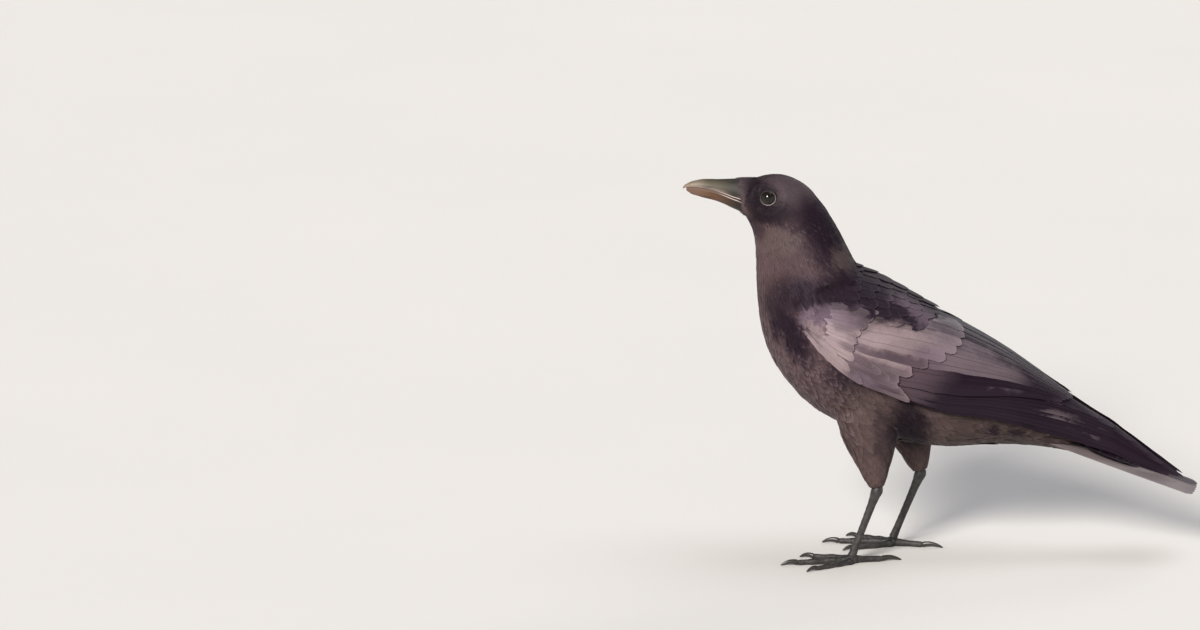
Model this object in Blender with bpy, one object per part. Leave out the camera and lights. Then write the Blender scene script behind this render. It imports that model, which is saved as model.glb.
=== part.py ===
"""Life-size carrion crow, standing still with its head raised and its wings folded.

Run with  blender --background --python part.py  or from Blender's text editor.
Metres, +Z up. The crow faces -X, its left side is -Y, and it stands on Z = 0. Sizes below are in
millimetres, and MM turns them into metres.
"""

import math

import bmesh
import bpy
import numpy as np
from mathutils import Matrix, Vector

MM = 0.001
GAP = 0.35  # between pieces that meet
SIDES = (("left", -1), ("right", 1))

# The feathered body as rings from the tail coverts to the bill. Each ring's top and bottom lie on
# the outline seen from the side, as (x, z), and the last number is its half width.
BODY_RINGS = {
    "covert_tip": ((120, 101), (118, 82.5), 15),
    "tail_coverts": ((85, 133), (80, 89.5), 26),
    "rump": ((45, 162), (42, 91.5), 37),
    "loin": ((10, 187), (5, 89.5), 45),
    "back": ((-22, 213), (-32, 94), 50.5),
    "mantle": ((-47, 230), (-68, 103.5), 52.5),
    "shoulder": ((-61, 236), (-103, 122.3), 54),
    "breast": ((-67.5, 242), (-129.5, 151.5), 52),
    "neck_base": ((-73, 252), (-143, 180.5), 46),
    "low_neck": ((-79, 264), (-147.8, 209), 36),
    "mid_neck": ((-86, 276.5), (-149.3, 232), 30),
    "nape": ((-96, 291), (-149.3, 251), 25),
    "hind_crown": ((-109, 305.5), (-151.5, 266), 21),
    "crown": ((-126, 313.2), (-156, 276.5), 17.8),
    "brow": ((-141, 312.8), (-160.5, 282.5), 15),
    "bill_base": ((-152.5, 309), (-163.5, 287), 11.5),
}
RING_NAMES = list(BODY_RINGS)
RING_POINTS = 20
RINGS_PER_STEP = 2
NECK_STARTS = RING_NAMES.index("neck_base") - 0.25
HEAD_STARTS = RING_NAMES.index("nape") + 0.15
COVERTS_END = RING_NAMES.index("rump") + 0.45
RING_GAP = 0.03  # the cut between two lengths of the body, as a share of one step between rings

# Bill: (x, height of the ridge or keel, height of the cutting edge, half width), base to tip.
UPPER_BILL = (
    (-149, 309.3, 291.5, 8.6),
    (-163, 309.5, 294.6, 7.9),
    (-178, 309.0, 299.6, 6.2),
    (-191, 309.0, 302.4, 4.5),
    (-200, 307.2, 303.2, 2.9),
    (-205, 304.6, 302.2, 1.5),
    (-206.8, 302.6, 301.2, 0.6),
)
LOWER_BILL = (
    (-149, 279.0, 290.6, 8.4),
    (-163, 283.6, 294.1, 7.5),
    (-178, 290.4, 299.2, 5.7),
    (-191, 294.0, 302.0, 3.9),
    (-200, 296.8, 302.8, 2.4),
    (-204, 299.8, 301.9, 1.2),
)
BILL_POINTS = 8  # round one half of the bill

EYE_CENTRE = (-138.6, 11.6, 298.2)
EYE_RADIUS = 7.0

# The outside of the folded wings, in cross sections along X: half width, height of the middle, and
# height of the top above it.
WING_SECTIONS = (
    (-125, 42.5, 204, 49),
    (-100, 53.5, 188.5, 58.5),
    (-50, 58.5, 163, 66),
    (0, 55.5, 138, 65),
    (50, 45, 116, 58),
    (100, 30, 98, 36.5),
    (140, 21, 88.5, 18.5),
    (180, 13, 77, 7.5),
)
# How deep under that outside the layers of the wing end: coverts, secondaries, primaries.
WING_LAYERS = (
    (-125, 3.0, 7.0, 11.0),
    (-50, 3.0, 7.0, 11.0),
    (0, 2.8, 6.4, 10.0),
    (50, 1.0, 5.0, 8.6),
    (100, 0.4, 3.4, 6.4),
    (140, 0.4, 1.6, 4.2),
    (182, 0.2, 0.2, 2.0),
)
LAYER_GAP = 1.2
POCKET_GAP = 2.4  # between the wing and the floor of the hollow that it lies in
# The wing's lower edge as it runs round those sections, in degrees from the top.
WING_LOWER_EDGE = (
    (-122, 86),
    (-100, 94),
    (-75, 100),
    (-50, 103),
    (0, 97),
    (50, 88),
    (100, 88),
    (182, 95),
)
# Each layer's two edges: x, degrees of the lower one, degrees of the upper one.
COVERT_EDGES = (
    (-122, 85, 80),
    (-112, 90, 62),
    (-100, 94, 50),
    (-75, 100, 34),
    (-50, 103, 25),
    (0, 98, 6),
    (20, 94, 3),
)
SECONDARY_EDGES = ((-37, 92, 30), (-20, 87, 14), (0, 82, 5), (50, 64, 1.6), (105, 38, 2.2))
PRIMARY_STEP = ((-54, 1.3), (0, 1.9), (50, 2.6), (100, 3.2), (182, 3.0))  # mm that each one shows
WING_FRONT = -122
# Each layer of the wing: where its feathers start, where their tips are from the wing's lower edge
# up, and half the width of a tip, as a share of what each feather shows.
WING_ROWS = {
    "coverts": (WING_FRONT, (-27, -35, -36, -30, -20, -8, 6, 15), 1.1),
    "secondaries": (-35, (97, 100, 103, 105, 106, 106, 103, 96, 83), 1.6),
    "primaries": (-54, (167, 176.5, 180.5, 175, 164, 153, 143, 134, 125), 2.2),
}
ROW_STATIONS = {  # along the feathers, as shares of their length
    "coverts": (0, 0.07, 0.24, 0.5, 0.78, 1),
    "secondaries": (0, 0.3, 0.6, 0.85, 1),
    "primaries": (0, 0.3, 0.6, 0.86, 1),
}
TIP_ROUND = 9  # how far a tip's corners lie behind its end
VANE_STEP = 0.45  # how far each feather's edge stands off the one it lies on
VANE_THICK = 0.7  # of the thinnest feather

TAIL_ROOT = (58, 113.5)
TAIL_TIP = (206.8, 58)
TAIL_FEATHERS = 12
TAIL_SPREAD = (14, 31)  # half width at the root and at the tip
TAIL_ROUNDING = 5  # how far the outermost tips lie behind the middle ones
TAIL_ARCH = (6, 2.5)  # how far the edges hang below the middle, at the root and at the tip
TAIL_TOP = 0.8  # how far the middle feathers' upper side lies above the line from root to tip
TAIL_THICK = 2.4
TAIL_STATIONS = (0, 0.4, 0.85, 1)

TARSUS_LENGTH = 59
# Per leg: where the ankle is, and how far the tarsus leans forward going down, in degrees.
ANKLES = {"left": (-51, -28, 60), "right": (-14, 28, 60)}
TARSUS_LEAN = {"left": 20, "right": 22}
THIGH_TOPS = {"left": (-60, -27, 128), "right": (-30, 27, 128)}
# Share of the way down the thigh, half width, half depth.
THIGH_SECTIONS = (
    (0, 18, 27),
    (0.3, 17, 25),
    (0.52, 14.5, 20),
    (0.72, 11.2, 14),
    (0.88, 8.4, 10),
    (1, 5.6, 6.2),
)
# Per toe: the way it points, in degrees from straight ahead towards the outside; how far outside the
# middle of the foot it starts; its length, its joints, its radius at the root and its claw's length.
TOES = {
    "middle": (2, 0.3, 43, 3, 3.5, 14),
    "inner": (-25, -3.8, 31, 2, 3.2, 12),
    "outer": (28, 4.2, 33, 3, 3.0, 11),
    "hind": (186, -0.6, 24, 1, 3.5, 17),
}
TOE_ROOT = 1.5  # how far from the middle of the foot a toe starts
FOOT_TURN = 6  # both feet turn out by this much
# Share of the way down the tarsus, half width, half depth.
TARSUS_SECTIONS = (
    (-0.07, 3.0, 3.4),
    (0, 4.2, 4.7),
    (0.08, 3.6, 4.0),
    (0.2, 2.5, 3.3),
    (0.55, 2.3, 2.9),
    (0.85, 2.6, 3.0),
    (0.96, 3.7, 3.6),
)
FOOT_RADIUS = 5.2
FOOT_HEIGHT = 4.6  # of the tarsus's lower end over the floor
CLAW_ARCH = 2.6

# Material: (red, green, blue), roughness.
FEATHER = (0.018, 0.015, 0.020), 0.42
WING_FEATHER = (0.020, 0.016, 0.024), 0.36
HORN = (0.022, 0.020, 0.019), 0.33
LEG_SCALE = (0.020, 0.019, 0.019), 0.45
EYE = (0.012, 0.008, 0.006), 0.06


def clear_scene():
    for obj in list(bpy.data.objects):
        bpy.data.objects.remove(obj)


def new_material(name, look):
    colour, roughness = look
    material = bpy.data.materials.new(name)
    material.use_nodes = True
    shader = material.node_tree.nodes["Principled BSDF"]
    shader.inputs["Base Color"].default_value = (*colour, 1)
    shader.inputs["Roughness"].default_value = roughness
    shader.inputs["Metallic"].default_value = 0
    return material


def curve_through(rows, at):
    """The Catmull-Rom curve through evenly counted rows, read at a row number that may be a fraction."""
    rows = np.asarray(rows, float)
    last = len(rows) - 1
    i = int(min(max(math.floor(at), 0), last - 1))
    t = at - i
    before = rows[i - 1] if i > 0 else 2 * rows[0] - rows[1]
    after = rows[i + 2] if i + 2 <= last else 2 * rows[last] - rows[last - 1]
    a, b = rows[i], rows[i + 1]
    return 0.5 * (
        2 * a
        + (b - before) * t
        + (2 * before - 5 * a + 4 * b - after) * t * t
        + (3 * a - before - 3 * b + after) * t**3
    )


def along_x(rows, x):
    """Rows of (x, value, ...) read smoothly at x."""
    rows = np.asarray(rows, float)
    knots = rows[:, 0]
    at = float(np.interp(x, knots, np.arange(len(knots))))
    return curve_through(rows[:, 1:], at)


def make_object(name, bm, material, smooth_degrees=40):
    """An object from a bmesh in millimetres, with its faces pointing out."""
    bmesh.ops.recalc_face_normals(bm, faces=bm.faces)
    mesh = bpy.data.meshes.new(name)
    bm.to_mesh(mesh)
    bm.free()
    mesh.transform(Matrix.Scale(MM, 4))
    if material:
        mesh.materials.append(material)
    mesh.shade_smooth()
    mesh.set_sharp_from_angle(angle=math.radians(smooth_degrees))
    obj = bpy.data.objects.new(name, mesh)
    bpy.context.scene.collection.objects.link(obj)
    return obj


def loft(rings):
    """A closed tube through rings of equally many points, capped at both ends."""
    bm = bmesh.new()
    rows = [[bm.verts.new(p) for p in ring] for ring in rings]
    for a, b in zip(rows, rows[1:]):
        for i in range(len(a)):
            j = (i + 1) % len(a)
            bm.faces.new((a[i], a[j], b[j], b[i]))
    bm.faces.new(reversed(rows[0]))
    bm.faces.new(rows[-1])
    return bm


def cut(obj, cutter, swell=0.0):
    """Cuts a copy of the cutter, swollen by this many millimetres, out of obj."""
    tool = cutter.copy()
    tool.data = cutter.data.copy()
    bpy.context.scene.collection.objects.link(tool)
    if swell:
        push = tool.modifiers.new("swell", "DISPLACE")
        push.strength = swell * MM
        push.mid_level = 0
    step = obj.modifiers.new("cut", "BOOLEAN")
    step.operation = "DIFFERENCE"
    step.solver = "EXACT"
    step.object = tool
    graph = bpy.context.evaluated_depsgraph_get()
    mesh = bpy.data.meshes.new_from_object(obj.evaluated_get(graph))
    obj.modifiers.clear()
    obj.data = mesh
    bpy.data.objects.remove(tool)


def body_ring(at):
    """The ring of points of the feathered body at this place along BODY_RINGS."""
    rows = [(*top, *bottom, width) for top, bottom, width in BODY_RINGS.values()]
    top_x, top_z, low_x, low_z, width = curve_through(rows, at)
    middle = Vector(((top_x + low_x) / 2, 0, (top_z + low_z) / 2))
    up = Vector(((top_x - low_x) / 2, 0, (top_z - low_z) / 2))
    ring = []
    for i in range(RING_POINTS):
        turn = 2 * math.pi * i / RING_POINTS
        ring.append(middle + up * math.cos(turn) + Vector((0, width * math.sin(turn), 0)))
    return ring


def body_length(name, start, end, material):
    """The body from one ring number to another, as one closed piece."""
    steps = max(2, round((end - start) * RINGS_PER_STEP))
    rings = [body_ring(start + (end - start) * i / steps) for i in range(steps + 1)]
    return make_object(name, loft(rings), material)


def bill_half(name, rows, material):
    """One half of the bill: a ridge or keel on one side and the flat cutting edge on the other."""
    rings = []
    for x, ridge, edge, width in rows:
        ring = []
        for i in range(BILL_POINTS + 1):
            turn = math.pi * i / BILL_POINTS
            height = edge + (ridge - edge) * math.sin(turn) ** 0.85
            ring.append((x, -width * math.cos(turn), height))
        rings.append(ring)
    return make_object(name, loft(rings), material)


def eye(name, side, material):
    bm = bmesh.new()
    bmesh.ops.create_uvsphere(bm, u_segments=12, v_segments=8, radius=EYE_RADIUS)
    x, y, z = EYE_CENTRE
    outward = Matrix.Rotation(math.pi / 2, 3, "X")
    bmesh.ops.rotate(bm, cent=(0, 0, 0), matrix=outward, verts=bm.verts)
    bmesh.ops.translate(bm, vec=(x, side * y, z), verts=bm.verts)
    return make_object(name, bm, material, 180)


def on_wing(side, x, degrees, depth):
    """The point at this depth under the outside of a folded wing."""
    half_width, middle, rise = along_x(WING_SECTIONS, x)
    turn = math.radians(degrees)
    out = Vector((0, side * math.sin(turn) * rise, math.cos(turn) * half_width)).normalized()
    point = Vector((x, side * half_width * math.sin(turn), middle + rise * math.cos(turn)))
    return point - out * depth


def wing_layer(x, number):
    """How deep a layer of the wing ends at x. Layer 0 is the coverts'."""
    return along_x(WING_LAYERS, x)[number]


def slab(top_grid, bottom_grid):
    """A closed slab between two grids of points, the same way round."""
    bm = bmesh.new()
    top = [[bm.verts.new(p) for p in row] for row in top_grid]
    low = [[bm.verts.new(p) for p in row] for row in bottom_grid]
    rows, columns = len(top), len(top[0])
    for i in range(rows - 1):
        for j in range(columns - 1):
            bm.faces.new((top[i][j], top[i + 1][j], top[i + 1][j + 1], top[i][j + 1]))
            bm.faces.new((low[i][j], low[i][j + 1], low[i + 1][j + 1], low[i + 1][j]))
    rim = [(i, 0) for i in range(rows)]
    rim += [(rows - 1, j) for j in range(1, columns)]
    rim += [(i, columns - 1) for i in range(rows - 2, -1, -1)]
    rim += [(0, j) for j in range(columns - 2, 0, -1)]
    for (a, b), (c, d) in zip(rim, rim[1:] + rim[:1]):
        bm.faces.new((top[a][b], low[a][b], low[c][d], top[c][d]))
    return bm


def vane_columns(count):
    """Three columns for each feather of a row: where it lies in the row, and how deep it is there."""
    columns = []
    for i in range(count):
        columns.append((i + 0.04, 0))
        columns.append((i + 0.5, 0.4 * VANE_STEP))
        columns.append((i + 0.96, VANE_STEP))
    return columns


def row_end(tips, at, reach):
    """How far the row of round tips comes at this place in it. reach is a tip's half width."""
    ends = []
    for i, tip in enumerate(tips):
        off = (at - i - 0.5) / reach
        if abs(off) < 1:
            ends.append(tip - TIP_ROUND * off * off)
    return max(ends)


def wing_line(layer, at, x):
    """Where a line along a row of feathers lies round the wing, in degrees. at counts feathers."""
    if layer == "primaries":
        half_width, _, rise = along_x(WING_SECTIONS, x)
        shown = at * along_x(PRIMARY_STEP, x)[0]
        degrees = along_x(WING_LOWER_EDGE, x)[0] - math.degrees(shown * 2 / (half_width + rise))
        return max(degrees, 3)
    edges = COVERT_EDGES if layer == "coverts" else SECONDARY_EDGES
    low, high = along_x(edges, x)
    return low + (high - low) * at / len(WING_ROWS[layer][1])


def wing_row(side_name, side, layer, material):
    """One layer of a folded wing: its feathers side by side, with their tips in steps."""
    root, tips, reach = WING_ROWS[layer]
    number = list(WING_ROWS).index(layer)
    upper, lower = [], []
    for t in ROW_STATIONS[layer]:
        up_row, low_row = [], []
        for at, sink in vane_columns(len(tips)):
            x = root + (row_end(tips, at, reach) - root) * t
            degrees = wing_line(layer, at, x)
            top = wing_layer(x, number - 1) + LAYER_GAP if number else -VANE_THICK
            top += sink
            bottom = max(wing_layer(x, number), top + VANE_THICK)
            up_row.append(on_wing(side, x, degrees, top))
            low_row.append(on_wing(side, x, degrees, bottom))
        upper.append(up_row)
        lower.append(low_row)
    make_object(f"wing_{side_name}_{layer}", slab(upper, lower), material, 25)


def wing_pocket(side):
    """A cutter that makes room in the body for one folded wing."""
    upper, lower = [], []
    for x in (WING_FRONT - 1.5, -112, -98, -80, -64, -56, -30, 0, 30, 60, 90, 130):
        behind = x > -60  # where the long feathers lie under the coverts
        low = along_x(WING_LOWER_EDGE, max(x, WING_FRONT))[0] + 2
        high = along_x(COVERT_EDGES, max(min(x, 20), WING_FRONT))[1] - (3 if behind else 1.5)
        deep = wing_layer(x, 2 if behind else 0) + POCKET_GAP
        up_row, low_row = [], []
        for j in range(11):
            degrees = max(high, 0.2) + (low - max(high, 0.2)) * j / 10
            up_row.append(on_wing(side, x, degrees, -9))
            low_row.append(on_wing(side, x, degrees, deep))
        upper.append(up_row)
        lower.append(low_row)
    return make_object("pocket", slab(upper, lower), None)


def tail_line():
    """Where the tail starts and ends, the way it runs and the way out of its upper side."""
    start = Vector((TAIL_ROOT[0], 0, TAIL_ROOT[1]))
    end = Vector((TAIL_TIP[0], 0, TAIL_TIP[1]))
    run = (end - start).normalized()
    return start, end, run, Vector((-run.z, 0, run.x))


def tail_point(t, share, height, back=0, wider=0):
    """A place on the tail: t along it, share across it from -1 to 1, and its height over the line."""
    start, end, run, up = tail_line()
    arch = (TAIL_ARCH[0] + (TAIL_ARCH[1] - TAIL_ARCH[0]) * t) * share**2
    half = TAIL_SPREAD[0] + (TAIL_SPREAD[1] - TAIL_SPREAD[0]) * t + wider
    along = start + run * (((end - start).length - back) * t)
    return along + Vector((0, half * share, 0)) + up * (height - arch)


def tail(material):
    """The tail feathers as a closed fan, each lying under its inner neighbour."""
    half_count = TAIL_FEATHERS // 2
    right = vane_columns(half_count)
    columns = [(-at, sink) for at, sink in reversed(right)] + right
    upper, lower = [], []
    for t in TAIL_STATIONS:
        up_row, low_row = [], []
        for at, sink in columns:
            share = at / half_count
            corner = (2 * abs(at) % 2 - 1) ** 2
            back = TAIL_ROUNDING * share**2 + TIP_ROUND * 0.35 * corner
            up_row.append(tail_point(t, share, TAIL_TOP - sink, back))
            low_row.append(tail_point(t, share, TAIL_TOP - TAIL_THICK, back))
        upper.append(up_row)
        lower.append(low_row)
    return make_object("tail", slab(upper, lower), material, 25)


def tail_slot():
    """A cutter round the tail's root, so that the tail coverts close over and under it."""
    upper, lower = [], []
    for t in (-0.003, TAIL_STATIONS[1], 0.5):
        shares = [j / 4 - 1 for j in range(9)]
        upper.append([tail_point(t, share, TAIL_TOP + 3 * GAP, wider=1) for share in shares])
        lower.append([tail_point(t, share, TAIL_TOP - TAIL_THICK - 3 * GAP, wider=1) for share in shares])
    return make_object("slot", slab(upper, lower), None)


def tube(points, radii, sides, floor=None):
    """Rings of (half width, half height) round a path. None of it reaches below the floor."""
    rings = []
    for k, point in enumerate(points):
        before, after = points[max(k - 1, 0)], points[min(k + 1, len(points) - 1)]
        run = (after - before).normalized()
        across = run.cross(Vector((0, 0, 1))) if abs(run.z) < 0.9 else Vector((0, 1, 0))
        across = (across - run * across.dot(run)).normalized()
        up = across.cross(run)
        wide, tall = radii[k]
        ring = []
        for i in range(sides):
            turn = 2 * math.pi * (i + 0.5) / sides
            place = point + across * (wide * math.cos(turn)) + up * (tall * math.sin(turn))
            if floor is not None:
                place.z = max(place.z, floor)
            ring.append(place)
        rings.append(ring)
    return loft(rings)


def toe_base(side_name):
    """The middle of the foot, on the floor under the end of the tarsus."""
    x, y, z = ANKLES[side_name]
    lean = math.radians(TARSUS_LEAN[side_name])
    return Vector((x - TARSUS_LENGTH * math.sin(lean), y, z - TARSUS_LENGTH * math.cos(lean)))


def leg_piece(name, top, bottom, sections, sides, material):
    """A tube from top to bottom through sections of (share of the way, half width, half depth)."""
    points = [top.lerp(bottom, t) for t, _, _ in sections]
    radii = [(wide, deep) for _, wide, deep in sections]
    return make_object(name, tube(points, radii, sides), material)


def foot_pad(side_name, material):
    """The ball of the foot, where the toes meet, flat underneath."""
    centre = toe_base(side_name)
    bm = bmesh.new()
    bmesh.ops.create_uvsphere(bm, u_segments=10, v_segments=6, radius=FOOT_RADIUS)
    for vert in bm.verts:
        vert.co.z = max(vert.co.z * 0.86 + 3.4, 0)
        vert.co.x += centre.x
        vert.co.y += centre.y
    bmesh.ops.remove_doubles(bm, verts=bm.verts, dist=0.01)
    return make_object(f"foot_{side_name}", bm, material)


def toe_run(side, toe):
    """The way a toe points along the floor."""
    turn = math.radians(TOES[toe][0] + FOOT_TURN)
    return Vector((-math.cos(turn), side * math.sin(turn), 0))


def toe_piece(side_name, side, toe, material):
    """A toe with swollen pads under its joints, which lie flat on the floor."""
    _, outside, length, joints, radius, _ = TOES[toe]
    start = toe_base(side_name) + Vector((0, side * outside, 0))
    points, radii = [], []
    steps = 3 * joints
    for k in range(steps + 1):
        t = k / steps
        thin = radius * (1 - 0.32 * t)
        swell = 0.5 + 0.5 * math.cos(2 * math.pi * joints * t)
        thick = thin * (0.86 + 0.16 * swell)
        points.append(start + toe_run(side, toe) * (length * t + TOE_ROOT))
        points[-1].z = thin * 0.85
        radii.append((thick * 0.92, thick))
    return make_object(f"toe_{side_name}_{toe}", tube(points, radii, 8, floor=0), material)


def claw_piece(side_name, side, toe, material):
    """A curved claw that rises from the end of its toe and comes down to a point near the floor."""
    _, outside, length, _, radius, claw_length = TOES[toe]
    run = toe_run(side, toe)
    start = toe_base(side_name) + Vector((0, side * outside, 0)) + run * (length + TOE_ROOT + GAP)
    height = radius * 0.6
    start.z = height
    points, radii = [start], [(radius * 0.5, radius * 0.56)]
    for k in range(4):
        t = k / 3
        points.append(start + run * (1 + (claw_length - 1) * math.sin(1.3 * t) / math.sin(1.3)))
        points[-1].z = (CLAW_ARCH * math.sin(math.pi * t) + height) * (1 - t) + 0.6 * t
        size = radius * 0.6 * (1 - t) ** 0.75 + 0.35
        radii.append((size * 0.8, size))
    make_object(f"claw_{side_name}_{toe}", tube(points, radii, 6, floor=0), material)


def leg(side_name, side, trunk, feather, scale, horn):
    """One leg, from the feathered thigh down to the claws."""
    top, ankle = Vector(THIGH_TOPS[side_name]), Vector(ANKLES[side_name])
    foot = toe_base(side_name)
    foot.z = FOOT_HEIGHT
    thigh = leg_piece(f"thigh_{side_name}", top, ankle + Vector((0, 0, 2)), THIGH_SECTIONS, 14, feather)
    cut(thigh, trunk, GAP)
    shank = leg_piece(f"tarsus_{side_name}", ankle, foot, TARSUS_SECTIONS, 10, scale)
    cut(shank, thigh, GAP)
    pad = foot_pad(side_name, scale)
    cut(shank, pad, GAP)
    toes = {toe: toe_piece(side_name, side, toe, scale) for toe in TOES}
    for toe, digit in toes.items():
        cut(digit, pad, GAP)
        if toe in ("inner", "outer"):
            cut(digit, toes["middle"], GAP)
        claw_piece(side_name, side, toe, horn)


def body(feather):
    """The head, neck, trunk and tail coverts: one smooth body parted by thin cuts."""
    last = len(RING_NAMES) - 1
    coverts = body_length("tail_coverts", 0, COVERTS_END, feather)
    trunk = body_length("trunk", COVERTS_END + RING_GAP, NECK_STARTS, feather)
    neck = body_length("neck", NECK_STARTS + RING_GAP, HEAD_STARTS, feather)
    head = body_length("head", HEAD_STARTS + RING_GAP, last, feather)
    return coverts, trunk, neck, head


def main():
    clear_scene()
    feather = new_material("body_feather", FEATHER)
    long_feather = new_material("wing_feather", WING_FEATHER)
    horn = new_material("bill_and_claw", HORN)
    scale = new_material("leg_scale", LEG_SCALE)
    dark_eye = new_material("eye", EYE)

    coverts, trunk, neck, head = body(feather)
    cut(head, bill_half("bill_upper", UPPER_BILL, horn), GAP)
    cut(head, bill_half("bill_lower", LOWER_BILL, horn), GAP)

    tail(long_feather)
    slot = tail_slot()
    cut(coverts, slot)
    bpy.data.objects.remove(slot)

    for side_name, side in SIDES:
        cut(head, eye(f"eye_{side_name}", side, dark_eye), GAP)
        pocket = wing_pocket(side)
        for piece in (coverts, trunk, neck):
            cut(piece, pocket)
        bpy.data.objects.remove(pocket)
        for layer in WING_ROWS:
            wing_row(side_name, side, layer, long_feather)
        leg(side_name, side, trunk, feather, scale, horn)


main()
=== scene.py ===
import math

import bmesh
import bpy
import numpy as np
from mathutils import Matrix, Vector
from mathutils.bvhtree import BVHTree


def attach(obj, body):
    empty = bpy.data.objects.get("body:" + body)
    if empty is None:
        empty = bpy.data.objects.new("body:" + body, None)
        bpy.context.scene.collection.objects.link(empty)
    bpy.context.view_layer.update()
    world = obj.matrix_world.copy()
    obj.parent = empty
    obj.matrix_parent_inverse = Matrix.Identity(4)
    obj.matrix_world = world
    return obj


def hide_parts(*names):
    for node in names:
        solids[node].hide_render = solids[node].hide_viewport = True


# The finished crow round its solids. Lengths below are millimetres. The crow faces -X and its left
# is -Y.
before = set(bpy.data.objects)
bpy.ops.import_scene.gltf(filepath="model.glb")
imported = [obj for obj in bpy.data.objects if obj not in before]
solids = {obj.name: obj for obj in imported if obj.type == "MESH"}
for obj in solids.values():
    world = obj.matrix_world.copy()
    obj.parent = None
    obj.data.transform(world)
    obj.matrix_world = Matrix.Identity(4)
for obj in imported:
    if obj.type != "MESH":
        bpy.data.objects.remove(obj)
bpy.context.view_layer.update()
mm = 0.001
sides = {"left": -1, "right": 1}
print("crow: solids loaded")


class Signal:
    # one socket's output; arithmetic on it adds Math nodes
    def __init__(self, tree, socket):
        self.tree = tree
        self.socket = socket

    def maths(self, operation, *items):
        node = self.tree.nodes.new("ShaderNodeMath")
        node.operation = operation
        for slot, item in zip(node.inputs, items):
            if isinstance(item, Signal):
                self.tree.links.new(item.socket, slot)
            else:
                slot.default_value = item
        return Signal(self.tree, node.outputs[0])

    def __add__(self, other):
        return self.maths("ADD", self, other)

    def __radd__(self, other):
        return self.maths("ADD", other, self)

    def __sub__(self, other):
        return self.maths("SUBTRACT", self, other)

    def __rsub__(self, other):
        return self.maths("SUBTRACT", other, self)

    def __mul__(self, other):
        return self.maths("MULTIPLY", self, other)

    def __rmul__(self, other):
        return self.maths("MULTIPLY", other, self)

    def __truediv__(self, other):
        return self.maths("DIVIDE", self, other)

    def __abs__(self):
        return self.maths("ABSOLUTE", self)

    def rise(self, low, high):
        # 0 below low, 1 above high, smooth between
        node = self.tree.nodes.new("ShaderNodeMapRange")
        node.interpolation_type = "SMOOTHSTEP"
        self.tree.links.new(self.socket, node.inputs["Value"])
        node.inputs["From Min"].default_value = low
        node.inputs["From Max"].default_value = high
        return Signal(self.tree, node.outputs["Result"])


class Finish:
    # one material, or the room's light, made node by node
    def __init__(self, name, tree=None, shader=None):
        if tree is None:
            self.material = bpy.data.materials.new(name)
            self.material.use_nodes = True
            tree = self.material.node_tree
        self.tree = tree
        self.shader = shader or tree.nodes["Principled BSDF"]

    def feed(self, socket, item):
        if isinstance(item, Signal):
            self.tree.links.new(item.socket, socket)
        elif isinstance(item, tuple) and len(item) == 3 and socket.type == "RGBA":
            socket.default_value = (*item, 1)
        else:
            socket.default_value = item

    def node(self, kind, settings=None, sockets=None, output=0):
        made = self.tree.nodes.new(kind)
        for key, setting in (settings or {}).items():
            setattr(made, key, setting)
        for key, item in (sockets or {}).items():
            self.feed(made.inputs[key], item)
        return Signal(self.tree, made.outputs[output])

    def parts(self, vector):
        node = self.tree.nodes.new("ShaderNodeSeparateXYZ")
        self.tree.links.new(vector.socket, node.inputs[0])
        return [Signal(self.tree, socket) for socket in node.outputs]

    def place(self):
        return self.node("ShaderNodeNewGeometry", output="Position")

    def noise(self, scale, detail=2.0, stretch=None):
        where = self.place()
        if stretch:
            settings = {"operation": "MULTIPLY"}
            where = self.node("ShaderNodeVectorMath", settings, {0: where, 1: stretch})
        sockets = {"Vector": where, "Scale": scale, "Detail": detail}
        return self.node("ShaderNodeTexNoise", {}, sockets, "Fac")

    def vane(self):
        # across a feather from -1 to 1, and along it from root to tip
        across, along, _ = self.parts(self.node("ShaderNodeUVMap", {"uv_map": "vane"}))
        return across * 2 - 1, along

    def number(self, name):
        # a number that the mesh carries at each point
        return self.node("ShaderNodeAttribute", {"attribute_name": name}, output="Fac")

    def blend(self, share, first, second):
        node = self.tree.nodes.new("ShaderNodeMix")
        node.data_type = "RGBA"
        for key, item in ((0, share), (6, first), (7, second)):
            self.feed(node.inputs[key], item)
        return Signal(self.tree, node.outputs[2])

    def bump(self, height, strength, distance):
        sockets = {"Height": height, "Strength": strength, "Distance": distance}
        return self.node("ShaderNodeBump", {}, sockets)

    def surface(self, **sockets):
        # sockets of the main shader by their names in camelCase
        for name, item in sockets.items():
            words = "".join(" " + c if c.isupper() else c for c in name).strip().title()
            words = words.replace("Ior", "IOR")
            self.feed(self.shader.inputs[words], item)
        return self.material


# The crow's colours. The darkest four are its own near black, and the darkest of them also serve as
# painted shade. The paler ones are painted light on that black: a sunlit sheen in brown, olive and
# violet on the neck, throat, cheeks and crown, a sunlit paler breast, belly and vent, and on the wings a
# painted sheen from grey to pale, with greys for the painted shadow between their feathers.
tones = {
    "ink": (0.004, 0.002, 0.0035),
    "dark": (0.0095, 0.0045, 0.0090),
    "soot": (0.022, 0.014, 0.018),
    "brown": (0.074, 0.046, 0.049),
    "throat": (0.108, 0.070, 0.072),
    "olive": (0.096, 0.070, 0.064),
    "crown": (0.068, 0.050, 0.055),
    "breast": (0.096, 0.062, 0.066),
    "belly": (0.086, 0.059, 0.054),
    "vent": (0.060, 0.042, 0.036),
    "lavender": (0.120, 0.083, 0.112),
    "pale": (0.262, 0.198, 0.206),
    "mid": (0.080, 0.052, 0.064),
    "worn": (0.092, 0.068, 0.077),
    "gap": (0.054, 0.036, 0.045),
    "dove": (0.150, 0.116, 0.130),
    "down": (0.008, 0.006, 0.008),
}
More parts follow.
